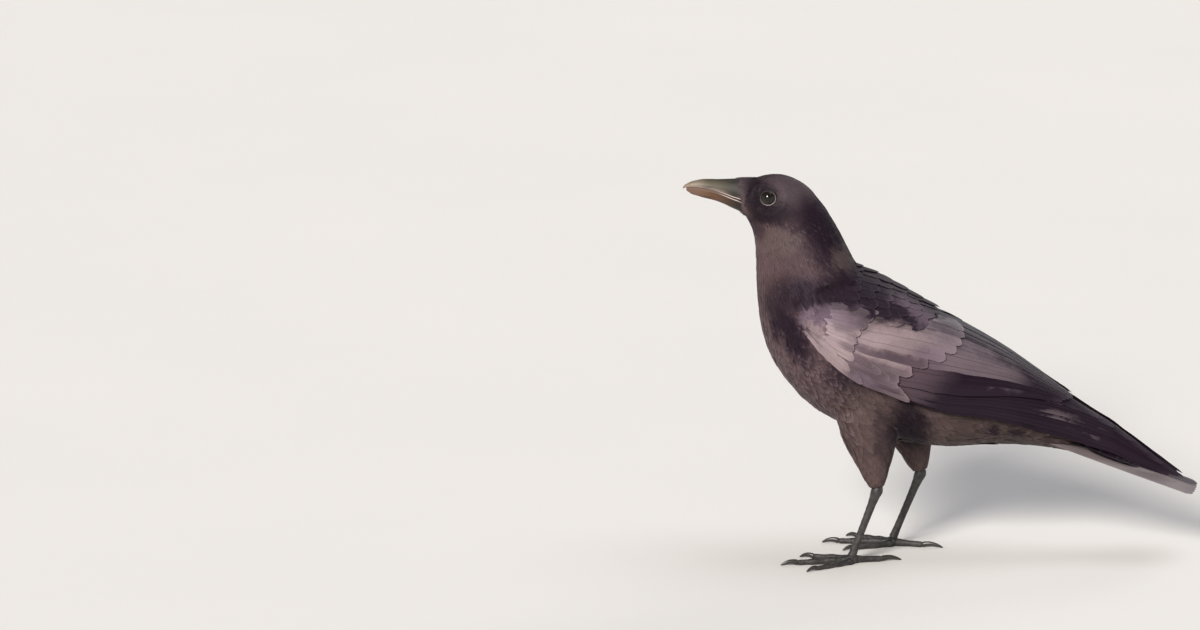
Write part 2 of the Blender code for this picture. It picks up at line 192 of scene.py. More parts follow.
plumageLook = {
    "gloss": (0.19, 0.145, 0.165),
    "roughness": 0.50,
    "sheen": 0.015,
    "sheenTint": (0.62, 0.50, 0.66, 1),
    "specular": 0.11,
    "specularTint": (0.92, 0.82, 1.0, 1),
    # the pale rim is a painted gloss, the dark middle a painted shade where the next feather overlaps,
    # and the light barbs take the painted gloss too
    "rim": (0.04, 0.34),  # how pale a feather's rim is, and by how much more on the scaled places
    "shade": (0.22, 0.22),  # the same for its dark middle
    "tintShade": 0.16,
    "barbs": (0.10, 0.38),  # how much of the light and of the dark barbs shows
}

# Soft patches of painted light and shade, later ones over earlier ones: x and height of the middle,
# half length, half height, lean in degrees, tone, and how much of it shows. On the body they paint
# shade on the collar, the nape and the chin, in front of the wing, behind and between the thighs and
# in the gaps of the vent, and sunlight on the cheek and the base of the neck; round the eye the shade
# is painted over lores that are darker in their own right. The second group is for the wings alone.
bodyLightAndShade = {
    "collar": (-100, 222, 42, 16, -6, "dark", 0.95),
    "napeBase": (-80, 248, 14, 9, -50, "olive", 0.75),
    "cheek": (-128, 263, 15, 14, 0, "olive", 0.85),
    "chin": (-150, 272, 13, 9, -60, "soot", 0.75),
    "nape": (-97, 277, 27, 11, -54, "dark", 0.95),
    "underEye": (-139, 285, 21, 11, -6, "ink", 0.97),
    "lore": (-147, 301, 15, 13, 20, "ink", 0.97),
    "wingFront": (-122, 192, 34, 14, -60, "dark", 1.0),
    "thighRear": (-46, 106, 10, 32, 8, "soot", 0.6),
    "behindThigh": (-25, 112, 19, 34, 8, "ink", 1.0),
    "ventGap": (41, 109, 7, 6, 0, "ink", 0.85),
    "ventGapRear": (59, 107, 9, 5, 10, "ink", 0.85),
}
# On the wings the patches paint the sheen of sunlight on the coverts, the shoulder, the leading edge,
# the ends of the scapulars, the tertials and the edges and tips of the primaries, and painted shadow in
# the gaps between the coverts.
wingSheenAndShade = {
    "coverts": (-50, 171, 56, 30, -14, "mid", 0.95),
    "shoulder": (-94, 206, 34, 11, 0, "lavender", 0.9),
    "leadingEdge": (-91, 179, 31, 13, -54, "pale", 0.95),
    "greaterCoverts": (-33, 185, 58, 13, -12, "pale", 0.88),
    "innerCoverts": (-2, 173, 27, 11, -10, "lavender", 0.95),
    "covertGap": (-50, 165, 24, 11, -14, "gap", 0.9),
    "medianGap": (-76, 198, 19, 7, 0, "worn", 0.9),
    "wingLow": (-66, 157, 13, 8, -45, "lavender", 0.8),
    "scapularEnds": (-18, 209, 29, 9, -33, "lavender", 0.8),
    "tertials": (30, 170, 46, 13, -24, "dove", 0.95),
    "lowWing": (-30, 148, 26, 10, -22, "worn", 0.5),
    "primaryEdge": (93, 122, 20, 4, -14, "dove", 0.55),
    "primaryTip": (122, 108, 19, 3.5, -22, "dove", 0.6),
}


# Where each broad tone of painted sunlight, and below that the scaled look with its painted gloss
# and shade, fades in or out: along x, up z, or over a slope of both.
zones = {
    "outside": (12, 26),  # how far from the middle the wings' own patches begin
    "neckUp": (200, 240),
    "neckBack": (56, 90),
    "breastUp": (195, 235),
    "breastBack": (-105, -75),
    "bellyUp": (132, 165),
    "ventBack": (-10, 25),
    "throatBack": (-144, -122),
    "crownUp": (280, 300),
    "crownBack": (75, 95),
    "lowBreastUp": (160, 190),
    "lowBreastBack": (-85, -50),
    "rearBellyUp": (100, 125),
    "rearBellyBack": (0, 40),
    "drift": 12,  # how far the borders wander
    "patchEdge": (0.05, 1.4),  # from the middle of a patch to past its rim
}


def inMetres(name):
    return [edge * mm for edge in zones[name]]


def plumageTone(finish, onBody=True, drifting=4):
    # the crow's painted light and shade by place, the same for its skin, its coat and its long feathers
    x, y, z = finish.parts(finish.place())
    drift = (finish.noise(90, 3) - 0.5) * zones["drift"] + (finish.number("tint") - 0.5) * drifting
    x = x * 1000 + drift
    z = z * 1000 + drift
    outside = abs(y).rise(*inMetres("outside"))
    neck = z.rise(*zones["neckUp"]) * (1 - (x + z * 0.7).rise(*zones["neckBack"]))
    breast = (1 - z.rise(*zones["breastUp"])) * (1 - x.rise(*zones["breastBack"]))
    below = (1 - z.rise(*zones["bellyUp"])) * float(onBody)
    throat = neck * (1 - x.rise(*zones["throatBack"]))
    crown = z.rise(*zones["crownUp"]) * (1 - (x + z * 0.6).rise(*zones["crownBack"]))
    # paler tones paint sunlight on the belly and vent, then on the breast, neck, throat and crown
    tone = finish.blend(below, tones["dark"], tones["belly"])
    tone = finish.blend(below * x.rise(*zones["ventBack"]), tone, tones["vent"])
    for share, name in ((breast, "breast"), (neck, "brown"), (throat, "throat"), (crown, "crown")):
        tone = finish.blend(share, tone, tones[name])
    # then patches of painted light and shade, and on the wings their painted sheen and shadow besides
    patches = [(*patch, 1.0) for patch in bodyLightAndShade.values()]
    if not onBody:
        patches += [(*patch, outside) for patch in wingSheenAndShade.values()]
    for middleX, middleZ, long, high, lean, name, share, shown in patches:
        cosine, sine = math.cos(math.radians(lean)), math.sin(math.radians(lean))
        run = (x - middleX) * (cosine / long) + (z - middleZ) * (sine / long)
        climb = (z - middleZ) * (cosine / high) - (x - middleX) * (sine / high)
        within = 1 - (run * run + climb * climb).rise(*zones["patchEdge"])
        tone = finish.blend(within * share * shown, tone, tones[name])
    return tone


def barbs(finish, count):
    # fine uneven ribs that run out and forward from the shaft of each feather
    across, along = finish.vane()
    run = (along - abs(across) * 0.55 / 8) * (count * 2)
    sockets = {"X": run, "Y": across * 2.5, "Z": finish.number("tint") * 57}
    where = finish.node("ShaderNodeCombineXYZ", {}, sockets)
    return finish.node("ShaderNodeTexNoise", {}, {"Vector": where, "Scale": 1.0, "Detail": 2.0}, "Fac")


def plumageFinish(name, look, barbCount, onBody=True):
    finish = Finish(name)
    tone = plumageTone(finish, onBody)
    _, along = finish.vane()
    tint = finish.number("tint")
    x, _, z = finish.parts(finish.place())
    ribs = barbs(finish, barbCount)
    # the low breast and the rear of the belly show more of the painted shade over each feather's middle
    # and of the painted gloss on its rim
    lowBreast = (1 - z.rise(*inMetres("lowBreastUp"))) * (1 - x.rise(*inMetres("lowBreastBack")))
    rearBelly = x.rise(*inMetres("rearBellyBack")) * (1 - z.rise(*inMetres("rearBellyUp")))
    scaled = lowBreast + rearBelly
    rimShown, shadeShown = (look[key][0] + look[key][1] * scaled for key in ("rim", "shade"))
    rim = along.rise(0.70, 1.0) * tint.rise(0.3, 1.0) * rimShown
    shade = (1 - along.rise(0.55, 0.95)) * shadeShown + tint * look["tintShade"]
    # painted shade under the overlap, with each feather's own random darkening, then the painted gloss
    # on the rim
    colour = finish.blend(shade, tone, tones["dark"])
    colour = finish.blend(rim, colour, look["gloss"])
    gloss = finish.blend(0.5, tone, look["gloss"])
    light, dark = look["barbs"]
    # the light barbs take a painted gloss
    colour = finish.blend(ribs.rise(0.48, 0.70) * light, colour, gloss)
    colour = finish.blend((1 - ribs.rise(0.30, 0.52)) * dark, colour, tones["dark"])
    rough = look["roughness"] + (tint - 0.5) * 0.16 + (1 - along) * 0.05
    return finish.surface(
        baseColor=colour,
        roughness=rough,
        normal=finish.bump(ribs, 0.5, 0.00012),
        sheenWeight=look["sheen"],
        sheenRoughness=0.45,
        sheenTint=look["sheenTint"],
        specularIorLevel=look["specular"],
        specularTint=look["specularTint"],
    )


def skinFinish():
    finish = Finish("crow_skin")
    tone = plumageTone(finish)
    down = finish.noise(900, 3)
    return finish.surface(
        baseColor=finish.blend(down.rise(0.3, 0.8) * 0.5, tone, tones["down"]),
        roughness=0.72 + down * 0.1,
        normal=finish.bump(down, 0.6, 0.0004),
    )


# Long feathers, over the same painted light and shade: the colour of wear and bloom, which on the
# coverts is a painted sheen, of the edge, a painted sheen, and of the shaft, and how much of each shows.
flightLook = {
    "bloomAndSheen": (0.034, 0.024, 0.034),
    # the edge colour paints sheen along the feathers' edges
    "edge": (0.070, 0.055, 0.072),
    "shaft": (0.020, 0.014, 0.018),
    "roughness": 0.42,
    "specular": 0.14,
    "bloomShare": 0.2,
    "streakShare": 0.25,
    "edgeShare": 0.20,
    "tintShare": 0.35,
    "shaftShare": 0.5,
    "outerShare": 0.6,  # of the edge's share, along the outer web
    "barbs": (0.06, 0.18),  # how much of the light and of the dark barbs shows
    "drifting": 13,
}
covertLook = {
    **flightLook,
    # the pale bloom and edge paint the coverts' sheen
    "bloomAndSheen": (0.30, 0.235, 0.245),
    "edge": (0.26, 0.205, 0.225),
    "shaft": (0.060, 0.045, 0.052),
    "specular": 0.3,
    "bloomShare": 0.18,
    "edgeShare": 0.14,
}
mantleFinishLook = {
    **flightLook,
    "bloomAndSheen": (0.022, 0.013, 0.024),
    # a painted sheen along the edges
    "edge": (0.110, 0.085, 0.115),
    "shaft": (0.012, 0.008, 0.012),
    "roughness": 0.48,
    "specular": 0.12,
    "edgeShare": 0.20,
    "drifting": 5,
}
tailFinishLook = {
    **flightLook,
    "bloomAndSheen": (0.205, 0.172, 0.178),
    "bloomShare": 1.0,
    "tintShare": 0.85,
}


def flightFinish(name, look, barbCount):
    finish = Finish(name)
    across, along = finish.vane()
    tint = finish.number("tint")
    shaft = (1 - abs(across).rise(0.02, 0.055)) * (1 - along.rise(0.8, 0.95))
    outerEdge = 1 - across.rise(-1.0, -0.86)
    ribs = barbs(finish, barbCount)
    wear = finish.noise(38, 4, (0.5, 1, 1))
    # where each feather takes its bloom colour, on the coverts a painted sheen
    bloomAndSheen = (tint * look["tintShare"] + wear * (1 - look["tintShare"])).rise(0.25, 0.72)
    tone = plumageTone(finish, onBody=False, drifting=look["drifting"])
    web = finish.blend(bloomAndSheen * look["bloomShare"], tone, look["bloomAndSheen"])
    light, dark = look["barbs"]
    web = finish.blend((1 - ribs.rise(0.30, 0.55)) * dark, web, tones["dark"])
    web = finish.blend((1 - wear.rise(0.30, 0.62)) * look["streakShare"], web, tones["dark"])
    # the light barbs, the outer web and the tip take the edge colour, a painted sheen
    web = finish.blend(ribs.rise(0.45, 0.8) * light, web, look["edge"])
    web = finish.blend(outerEdge * look["edgeShare"] * look["outerShare"], web, look["edge"])
    web = finish.blend(along.rise(0.93, 1.0) * look["edgeShare"], web, look["edge"])
    colour = finish.blend(shaft * look["shaftShare"], web, look["shaft"])
    return finish.surface(
        baseColor=colour,
        roughness=look["roughness"] + (wear - 0.5) * 0.2 - shaft * 0.06,
        normal=finish.bump(ribs * 0.7 + finish.noise(1500, 2) * 0.4, 0.4, 0.0001),
        specularIorLevel=look["specular"],
        specularTint=plumageLook["specularTint"],
    )


# Each half of the bill: its colour at the base, further out, at the tip and along the cutting edge,
# the paler ones further out and at the tip painting sunlight on the black horn, and between which
# shares of the height from the cutting edge a painted glint runs as a pale line.
upperHorn = {
    "base": (0.020, 0.0175, 0.0145),
    "front": (0.072, 0.062, 0.040),
    "tip": (0.215, 0.165, 0.130),
    "edge": (0.200, 0.150, 0.140),
    "line": (0.0, 0.05),
}
lowerHorn = {
    "base": (0.018, 0.0155, 0.0135),
    "front": (0.110, 0.055, 0.028),
    "tip": (0.150, 0.090, 0.072),
    "edge": (0.130, 0.090, 0.072),
    "line": (0.10, 0.17),
}
hornLook = {
    "gape": (0.50, 0.40, 0.38),
    "streak": (0.016, 0.013, 0.011),
    "roughness": 0.34,
    "specular": 0.25,
}


def billFinish(name, look):
    finish = Finish(name)
    along, around, _ = finish.parts(finish.node("ShaderNodeUVMap", {"uv_map": "horn"}))
    streaks = finish.noise(260, 4, (0.18, 1, 1))
    # further out and at the tip the horn is painted paler, as sunlight falls on it
    front = (along + (streaks - 0.5) * 0.3).rise(0.25, 0.62) * (1 - around.rise(0.80, 1.0) * 0.6)
    colour = finish.blend(front, look["base"], look["front"])
    nearEdge = (1 - around.rise(0.12, 0.34)) * along.rise(0.30, 0.55)
    colour = finish.blend(nearEdge * 0.75, colour, look["edge"])
    colour = finish.blend(along.rise(0.62, 0.9) * 0.8, colour, look["tip"])
    colour = finish.blend(streaks.rise(0.5, 0.75) * 0.5, colour, hornLook["streak"])
    # a painted glint: a pale line along the cutting edge in the rear half of the bill
    low, high = look["line"]
    gape = around.rise(low - 0.02, low + 0.01) * (1 - around.rise(high - 0.02, high + 0.02))
    gape = gape * along.rise(0.05, 0.12) * (1 - along.rise(0.40, 0.60))
    colour = finish.blend(gape * 0.9, colour, hornLook["gape"])
    chips = finish.noise(1300, 4)
    return finish.surface(
        baseColor=colour,
        roughness=hornLook["roughness"] + streaks * 0.22,
        normal=finish.bump(streaks * 0.7 + chips * 0.3, 0.35, 0.00025),
        specularIorLevel=hornLook["specular"],
    )


# The bare parts, each between a dark and a light colour.
bareLook = {
    "claw": ((0.012, 0.011, 0.011), (0.040, 0.034, 0.030)),
    "scutes": ((0.012, 0.011, 0.012), (0.044, 0.038, 0.036)),
    "scuteCells": 900.0,
    "iris": ((0.005, 0.003, 0.002), (0.015, 0.008, 0.005)),
    "irisRim": (0.006, 0.004, 0.004),
    "irisRimFrom": (0.66, 0.78),  # in radians round the ball from the middle of the pupil
    "pupil": (0.002, 0.002, 0.002),
    "pupilTo": (0.36, 0.41),
    "lid": ((0.09, 0.076, 0.074), (0.24, 0.205, 0.20)),
    "lidShaded": (0.014, 0.010, 0.012),  # the rim where painted shade falls, most at the top under the brow
    "lidUnder": (0.012, 0.008, 0.011),  # what goes in under the coat
    "lidUnderFrom": (5.5, 9.0),  # degrees behind the rim
}


def clawFinish():
    finish = Finish("claw_horn")
    streaks = finish.noise(500, 3)
    return finish.surface(
        baseColor=finish.blend(streaks, *bareLook["claw"]),
        roughness=0.26 + streaks * 0.15,
        normal=finish.bump(streaks, 0.2, 0.0002),
    )


def legFinish():
    finish = Finish("leg_scutes")
    settings = {"feature": "DISTANCE_TO_EDGE"}
    sockets = {"Vector": finish.place(), "Scale": bareLook["scuteCells"]}
    cells = finish.node("ShaderNodeTexVoronoi", settings, sockets, "Distance")
    dust = finish.noise(300, 4)
    return finish.surface(
        baseColor=finish.blend(dust.rise(0.35, 0.75), *bareLook["scutes"]),
        roughness=0.40 + dust * 0.18,
        normal=finish.bump(cells.rise(0.0, 0.12) + dust * 0.4, 0.45, 0.00018),
    )


def eyeFinish():
    # reach is the angle from the middle of the pupil
    finish = Finish("eye")
    reach = finish.number("reach")
    fibres = finish.noise(1800, 3)
    iris = finish.blend(fibres.rise(0.3, 0.7), *bareLook["iris"])
    iris = finish.blend(reach.rise(*bareLook["irisRimFrom"]), iris, bareLook["irisRim"])
    return finish.surface(
        baseColor=finish.blend(reach.rise(*bareLook["pupilTo"]), bareLook["pupil"], iris),
        roughness=0.16 + reach.rise(0.4, 0.6) * 0.05,
        specularIorLevel=0.1,
        coatWeight=0.6,
        coatRoughness=0.02,
    )


def lidFinish():
    # past is how far behind the rim of the opening a place is, and the other number how much painted
    # light falls on the rim there, against the painted shade at its top
    finish = Finish("eyelid_skin")
    folds = finish.noise(1600, 3)
    colour = finish.blend(folds.rise(0.35, 0.7), *bareLook["lid"])
    colour = finish.blend(finish.number("bare"), bareLook["lidShaded"], colour)
    under = finish.number("past").rise(*bareLook["lidUnderFrom"])
    colour = finish.blend(under, colour, bareLook["lidUnder"])
    return finish.surface(
        baseColor=colour,
        roughness=0.42 + folds * 0.2,
        normal=finish.bump(folds, 0.5, 0.00015),
        specularIorLevel=0.3,
    )


finishes = {
    "skin": skinFinish(),
    "coat": plumageFinish("body_plumage", plumageLook, 18),
    "shoulder": plumageFinish("shoulder_plumage", plumageLook, 18, onBody=False),
    "flight": flightFinish("flight_feathers", flightLook, 200),
    "coverts": flightFinish("wing_coverts", covertLook, 110),
    "mantle": flightFinish("mantle_feathers", mantleFinishLook, 50),
    "tail": flightFinish("tail_feathers", tailFinishLook, 200),
    "upperBill": billFinish("upper_bill_horn", upperHorn),
    "lowerBill": billFinish("lower_bill_horn", lowerHorn),
    "claw": clawFinish(),
    "leg": legFinish(),
    "eye": eyeFinish(),
    "lid": lidFinish(),
}
print("crow: finishes ready")


def smoothRow(rows, x):
    # rows of (x, value, ...) read smoothly at an array of x
    rows = np.asarray(rows, float)
    x = np.asarray(x, float)
    last = len(rows) - 1
    at = np.interp(x, rows[:, 0], np.arange(last + 1))
    i = np.clip(np.floor(at), 0, last - 1).astype(int)
    t = (at - i)[..., None]
    values = rows[:, 1:]
    a = values[i]
    b = values[i + 1]
    before = np.where((i > 0)[..., None], values[np.maximum(i - 1, 0)], 2 * a - b)
    after = np.where((i + 2 <= last)[..., None], values[np.minimum(i + 2, last)], 2 * b - a)
    bend = (2 * before - 5 * a + 4 * b - after) * t**2 + (3 * a - before - 3 * b + after) * t**3
    return 0.5 * (2 * a + (b - before) * t + bend)


def unit(vectors):
    return vectors / np.maximum(np.linalg.norm(vectors, axis=-1, keepdims=True), 1e-9)


def newPiece(name, points, faces, material, slot, replaced=()):
    # one piece from points in millimetres and its faces, as rows of point numbers
    mesh = bpy.data.meshes.new(name)
    if isinstance(faces, np.ndarray):
        mesh.vertices.add(len(points))
        mesh.vertices.foreach_set("co", (np.asarray(points) * mm).ravel())
        mesh.loops.add(faces.size)
        mesh.loops.foreach_set("vertex_index", faces.ravel().astype(np.int32))
        mesh.polygons.add(len(faces))
        starts = np.arange(0, faces.size, faces.shape[1], dtype=np.int32)
        mesh.polygons.foreach_set("loop_start", starts)
        mesh.update(calc_edges=True)
    else:
        mesh.from_pydata((np.asarray(points) * mm).tolist(), [], faces)
    mesh.validate()
    mesh.materials.append(material)
    mesh.shade_smooth()
    piece = bpy.data.objects.new(name, mesh)
    bpy.context.scene.collection.objects.link(piece)
    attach(piece, "root")
    if replaced:
        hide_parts(*replaced)
    return piece


def addMap(piece, name, perLoop):
    layer = piece.data.uv_layers.new(name=name)
    layer.data.foreach_set("uv", np.ascontiguousarray(perLoop, np.float32).ravel())


def addNumber(piece, name, perPoint):
    layer = piece.data.attributes.new(name, "FLOAT", "POINT")
    layer.data.foreach_set("value", np.ascontiguousarray(perPoint, np.float32))


def facedOut(piece, degrees):
    # turns every face of a closed piece outward, with the edges sharper than this kept crisp
    bm = bmesh.new()
    bm.from_mesh(piece.data)
    bmesh.ops.recalc_face_normals(bm, faces=bm.faces)
    bm.to_mesh(piece.data)
    bm.free()
    piece.data.shade_smooth()
    piece.data.set_sharp_from_angle(angle=math.radians(degrees))


def gridFaces(grid, flip=False):
    # the faces of a grid of point numbers
    corners = (grid[:-1, :-1], grid[1:, :-1], grid[1:, 1:], grid[:-1, 1:])
    faces = np.stack(corners, axis=-1).reshape(-1, 4)
    return faces[:, (0, 3, 2, 1)] if flip else faces


def closedGrid(grid):
    # the same with its first column once more at the end, so that it closes on itself
    return np.concatenate((grid, grid[:, :1]), axis=1)


def vaneFaces(rows, columns):
    # a thin closed vane: an upper grid, and a lower one that shares its rim
    top = np.arange(rows * columns).reshape(rows, columns)
    low = top.copy()
    inner = (rows - 2) * (columns - 2)
    low[1:-1, 1:-1] = rows * columns + np.arange(inner).reshape(rows - 2, columns - 2)
    return np.concatenate((gridFaces(top), gridFaces(low, flip=True))), low


def joinVanes(name, top, bottom, across, along, tint, places, material, slot, replaced=(), flip=False):
    # many vanes as one mesh: grids of (vane, row, column, place) for the upper and the lower side
    count, rows, columns, _ = top.shape
    faces, low = vaneFaces(rows, columns)
    inner = bottom[:, 1:-1, 1:-1].reshape(count, -1, 3)
    points = np.concatenate((top.reshape(count, -1, 3), inner), axis=1)
    size = points.shape[1]
    every = (faces[None] + (np.arange(count) * size)[:, None, None]).reshape(-1, 4)
    own = np.zeros((size, 2))
    grid = np.stack(np.broadcast_arrays(across[None, :], along[:, None]), axis=-1).reshape(-1, 2)
    own[: rows * columns] = grid
    own[low[1:-1, 1:-1].ravel()] = grid.reshape(rows, columns, 2)[1:-1, 1:-1].reshape(-1, 2)
    if flip:
        every = every[:, ::-1]
        faces = faces[:, ::-1]
    piece = newPiece(name, points.reshape(-1, 3), every, material, slot, replaced)
    piece.data.set_sharp_from_angle(angle=math.radians(75))
    vane = own[faces].reshape(1, -1, 2)
    addMap(piece, "vane", np.broadcast_to(vane, (count, vane.shape[1], 2)))
    half = len(faces) // 2
    addMap(piece, "OFBake", places(own[faces], half, count))
    addNumber(piece, "tint", np.repeat(tint, size))
    return piece


tuftPatch = 0.003


def patchesAt(roots):
    # each tuft is a small patch at its root's place on the unwrapped skin
    low = roots.min(axis=0)
    size = np.maximum(roots.max(axis=0) - low, 1e-6)
    spots = 0.02 + 0.95 * (roots - low) / size

    def patches(own, *_):
        return spots[:, None] + (own.reshape(-1, 2) * tuftPatch)[None]

    return patches


def cellsInGrid(own, half, count):
    # each long feather has a cell of its own, its upper side in one half and its lower in the other
    across = math.ceil(math.sqrt(count / 4))
    down = math.ceil(count / across)
    upper = np.zeros(own.shape[:2])
    upper[half:] = 1
    u = (own[..., 0] * 0.46 + upper * 0.5 + 0.02)[None]
    v = (own[..., 1] * 0.94 + 0.03)[None]
    number = np.arange(count)[:, None, None]
    u = (u + number % across) / across
    v = (v + number // across) / down
    return np.stack((u, v), axis=-1).reshape(count, -1, 2)


wingShape = {
    # x, half width, height of the middle, height of the top above it
    "sections": (
        (-125, 42.5, 204, 49),
        (-100, 53.5, 188.5, 58.5),
        (-50, 58.5, 163, 66),
        (0, 55.5, 138, 65),
        (50, 45, 116, 58),
        (100, 30, 98, 41.5),
        (140, 19.5, 88, 25),
        (160, 15.5, 79, 19),
        (180, 12.5, 71.5, 13.5),
        (190, 10, 67.5, 9),
        (198, 7, 63.5, 6.5),
    ),
    # x, the wing's lower edge in degrees from the top
    "lowerEdge": (
        (-122, 87),
        (-106, 94.5),
        (-84, 104),
        (-66, 105.5),
        (-47, 102),
        (-26, 101),
        (0, 97),
        (37, 88),
        (72, 84),
        (100, 83),
        (120, 85),
        (140, 90),
        (160, 96),
        (180, 101),
        (198, 100),
    ),
    # x, degrees of the lower and of the upper edge of the coverts and of the secondaries
    "coverts": (
        (-122, 86, 80),
        (-112, 91.5, 62),
        (-100, 97.5, 50),
        (-84, 104, 39),
        (-66, 105.5, 30.5),
        (-47, 102.5, 24),
        (0, 98, 6),
        (20, 94, 3),
    ),
    "secondaries": ((-37, 92, 30), (-20, 87, 14), (0, 82, 5), (50, 64, 1.6), (105, 38, 2.2)),
    # the same for the scapulars and the mantle above them
    "scapulars": (
        (-122, 66, 0.6),
        (-100, 59, 0.6),
        (-57, 50, 0.6),
        (-22, 41, 0.6),
        (-2, 25, 0.6),
        (10, 10, 0.6),
    ),
    # x, how much of each primary shows past the next one
    "primaryStep": ((-54, 1.3), (0, 1.9), (50, 2.6), (100, 3.2), (160, 2.6), (198, 1.2)),
}


def wingLimit(name, x, which=0):
    # one value of a row of wingShape, read at x
    return smoothRow(wingShape[name], x)[..., which]


def onWing(side, x, degrees, depth):
    # places at this depth under the wing's outside, and the way out there
    section = smoothRow(wingShape["sections"], x)
    half, middle, rise = section[..., 0], section[..., 1], section[..., 2]
    turn = np.radians(degrees)
    out = unit(np.stack((0 * turn, side * np.sin(turn) * rise, np.cos(turn) * half), axis=-1))
    place = np.stack((x + 0 * turn, side * half * np.sin(turn), middle + rise * np.cos(turn)), axis=-1)
    return place - out * np.asarray(depth)[..., None], out


def wingPlace(points):
    # the reverse: x, degrees from the top and the depth under the outside
    section = smoothRow(wingShape["sections"], points[:, 0])
    half, middle, rise = section[:, 0], section[:, 1], section[:, 2]
    wide = np.abs(points[:, 1]) / half
    tall = (points[:, 2] - middle) / rise
    return np.degrees(np.arctan2(wide, tall)), (1 - np.hypot(wide, tall)) * (half + rise) / 2


def underScapulars(x, degrees):
    # 1 where the scapulars and the mantle cover the wing, 0 outside them
    border = wingLimit("scapulars", x)
    return np.clip((border - 2 - degrees) / 7, 0, 1) * np.clip((9 - x) / 10, 0, 1)


def wingLine(row, at, x):
    # how a line along a row of feathers runs round the wing, counted in feathers from the lower edge
    if row["edges"] == "primaries":
        radius = (wingLimit("sections", x) + wingLimit("sections", x, 2)) / 2
        shown = at * wingLimit("primaryStep", x)
        return np.maximum(wingLimit("lowerEdge", x) - np.degrees(shown / radius), 2)
    lower, upper = wingLimit(row["edges"], x), wingLimit(row["edges"], x, 1)
    return lower + (upper - lower) * at / row["count"]


eyeLook = {
    "centre": (-138.6, 11.6, 296.5),
    "radius": 7.0,
    "gaze": (-0.14, 1, 0.06),
    "cornea": 0.35,  # how far the clear front swells
    "rings": 40,
    "points": 48,
    "opening": (53, 48),  # half length and half height of the opening, in degrees round the ball
    "socket": (62, 96),  # between these the skin rises from under the lids to its own height
    "socketDeep": 0.2,  # how far under the ball's surface it starts
    "socketRise": 6,
    "socketReach": 1.9,  # times the radius
    "lidEnds": 100,
    "lidThick": 0.42,
    "lidRings": (34, 96),
    "rim": 0.34,  # how far the beaded rim stands up
    "rimAt": (3.5, 2.6),  # its middle and its spread, in degrees behind the opening
    "beads": 30,
    "beadHeight": 0.14,  # as a share of the rim
    "folds": 0.10,
    "foldsAt": (12, 7),
    "clear": 6.9,  # no feather's root is nearer than this to the eye, seen from its side
}

skinShape = {
    "nodes": ("head", "neck", "trunk", "tail_coverts", "thigh_left", "thigh_right"),
    "swell": 0.4,  # closes the thin cuts between the solids
    "weld": 0.02,
    "voxel": 1.5,
    "smoothing": 6,
    "lastSmoothing": 2,  # after the skin is drawn in
    "coatDepth": (0.35, 0.085),  # at least, and for each length of the feathers
    "wingDeep": 16,  # how far the flesh of the wing goes in, to meet the trunk
    "wingFront": -121,
    "wingEnds": 14,  # how far before the tips of the greater coverts
    "wingTips": (-27, -35, -36, -30, -20, -8, 6, 15),  # from the wing's lower edge up
}

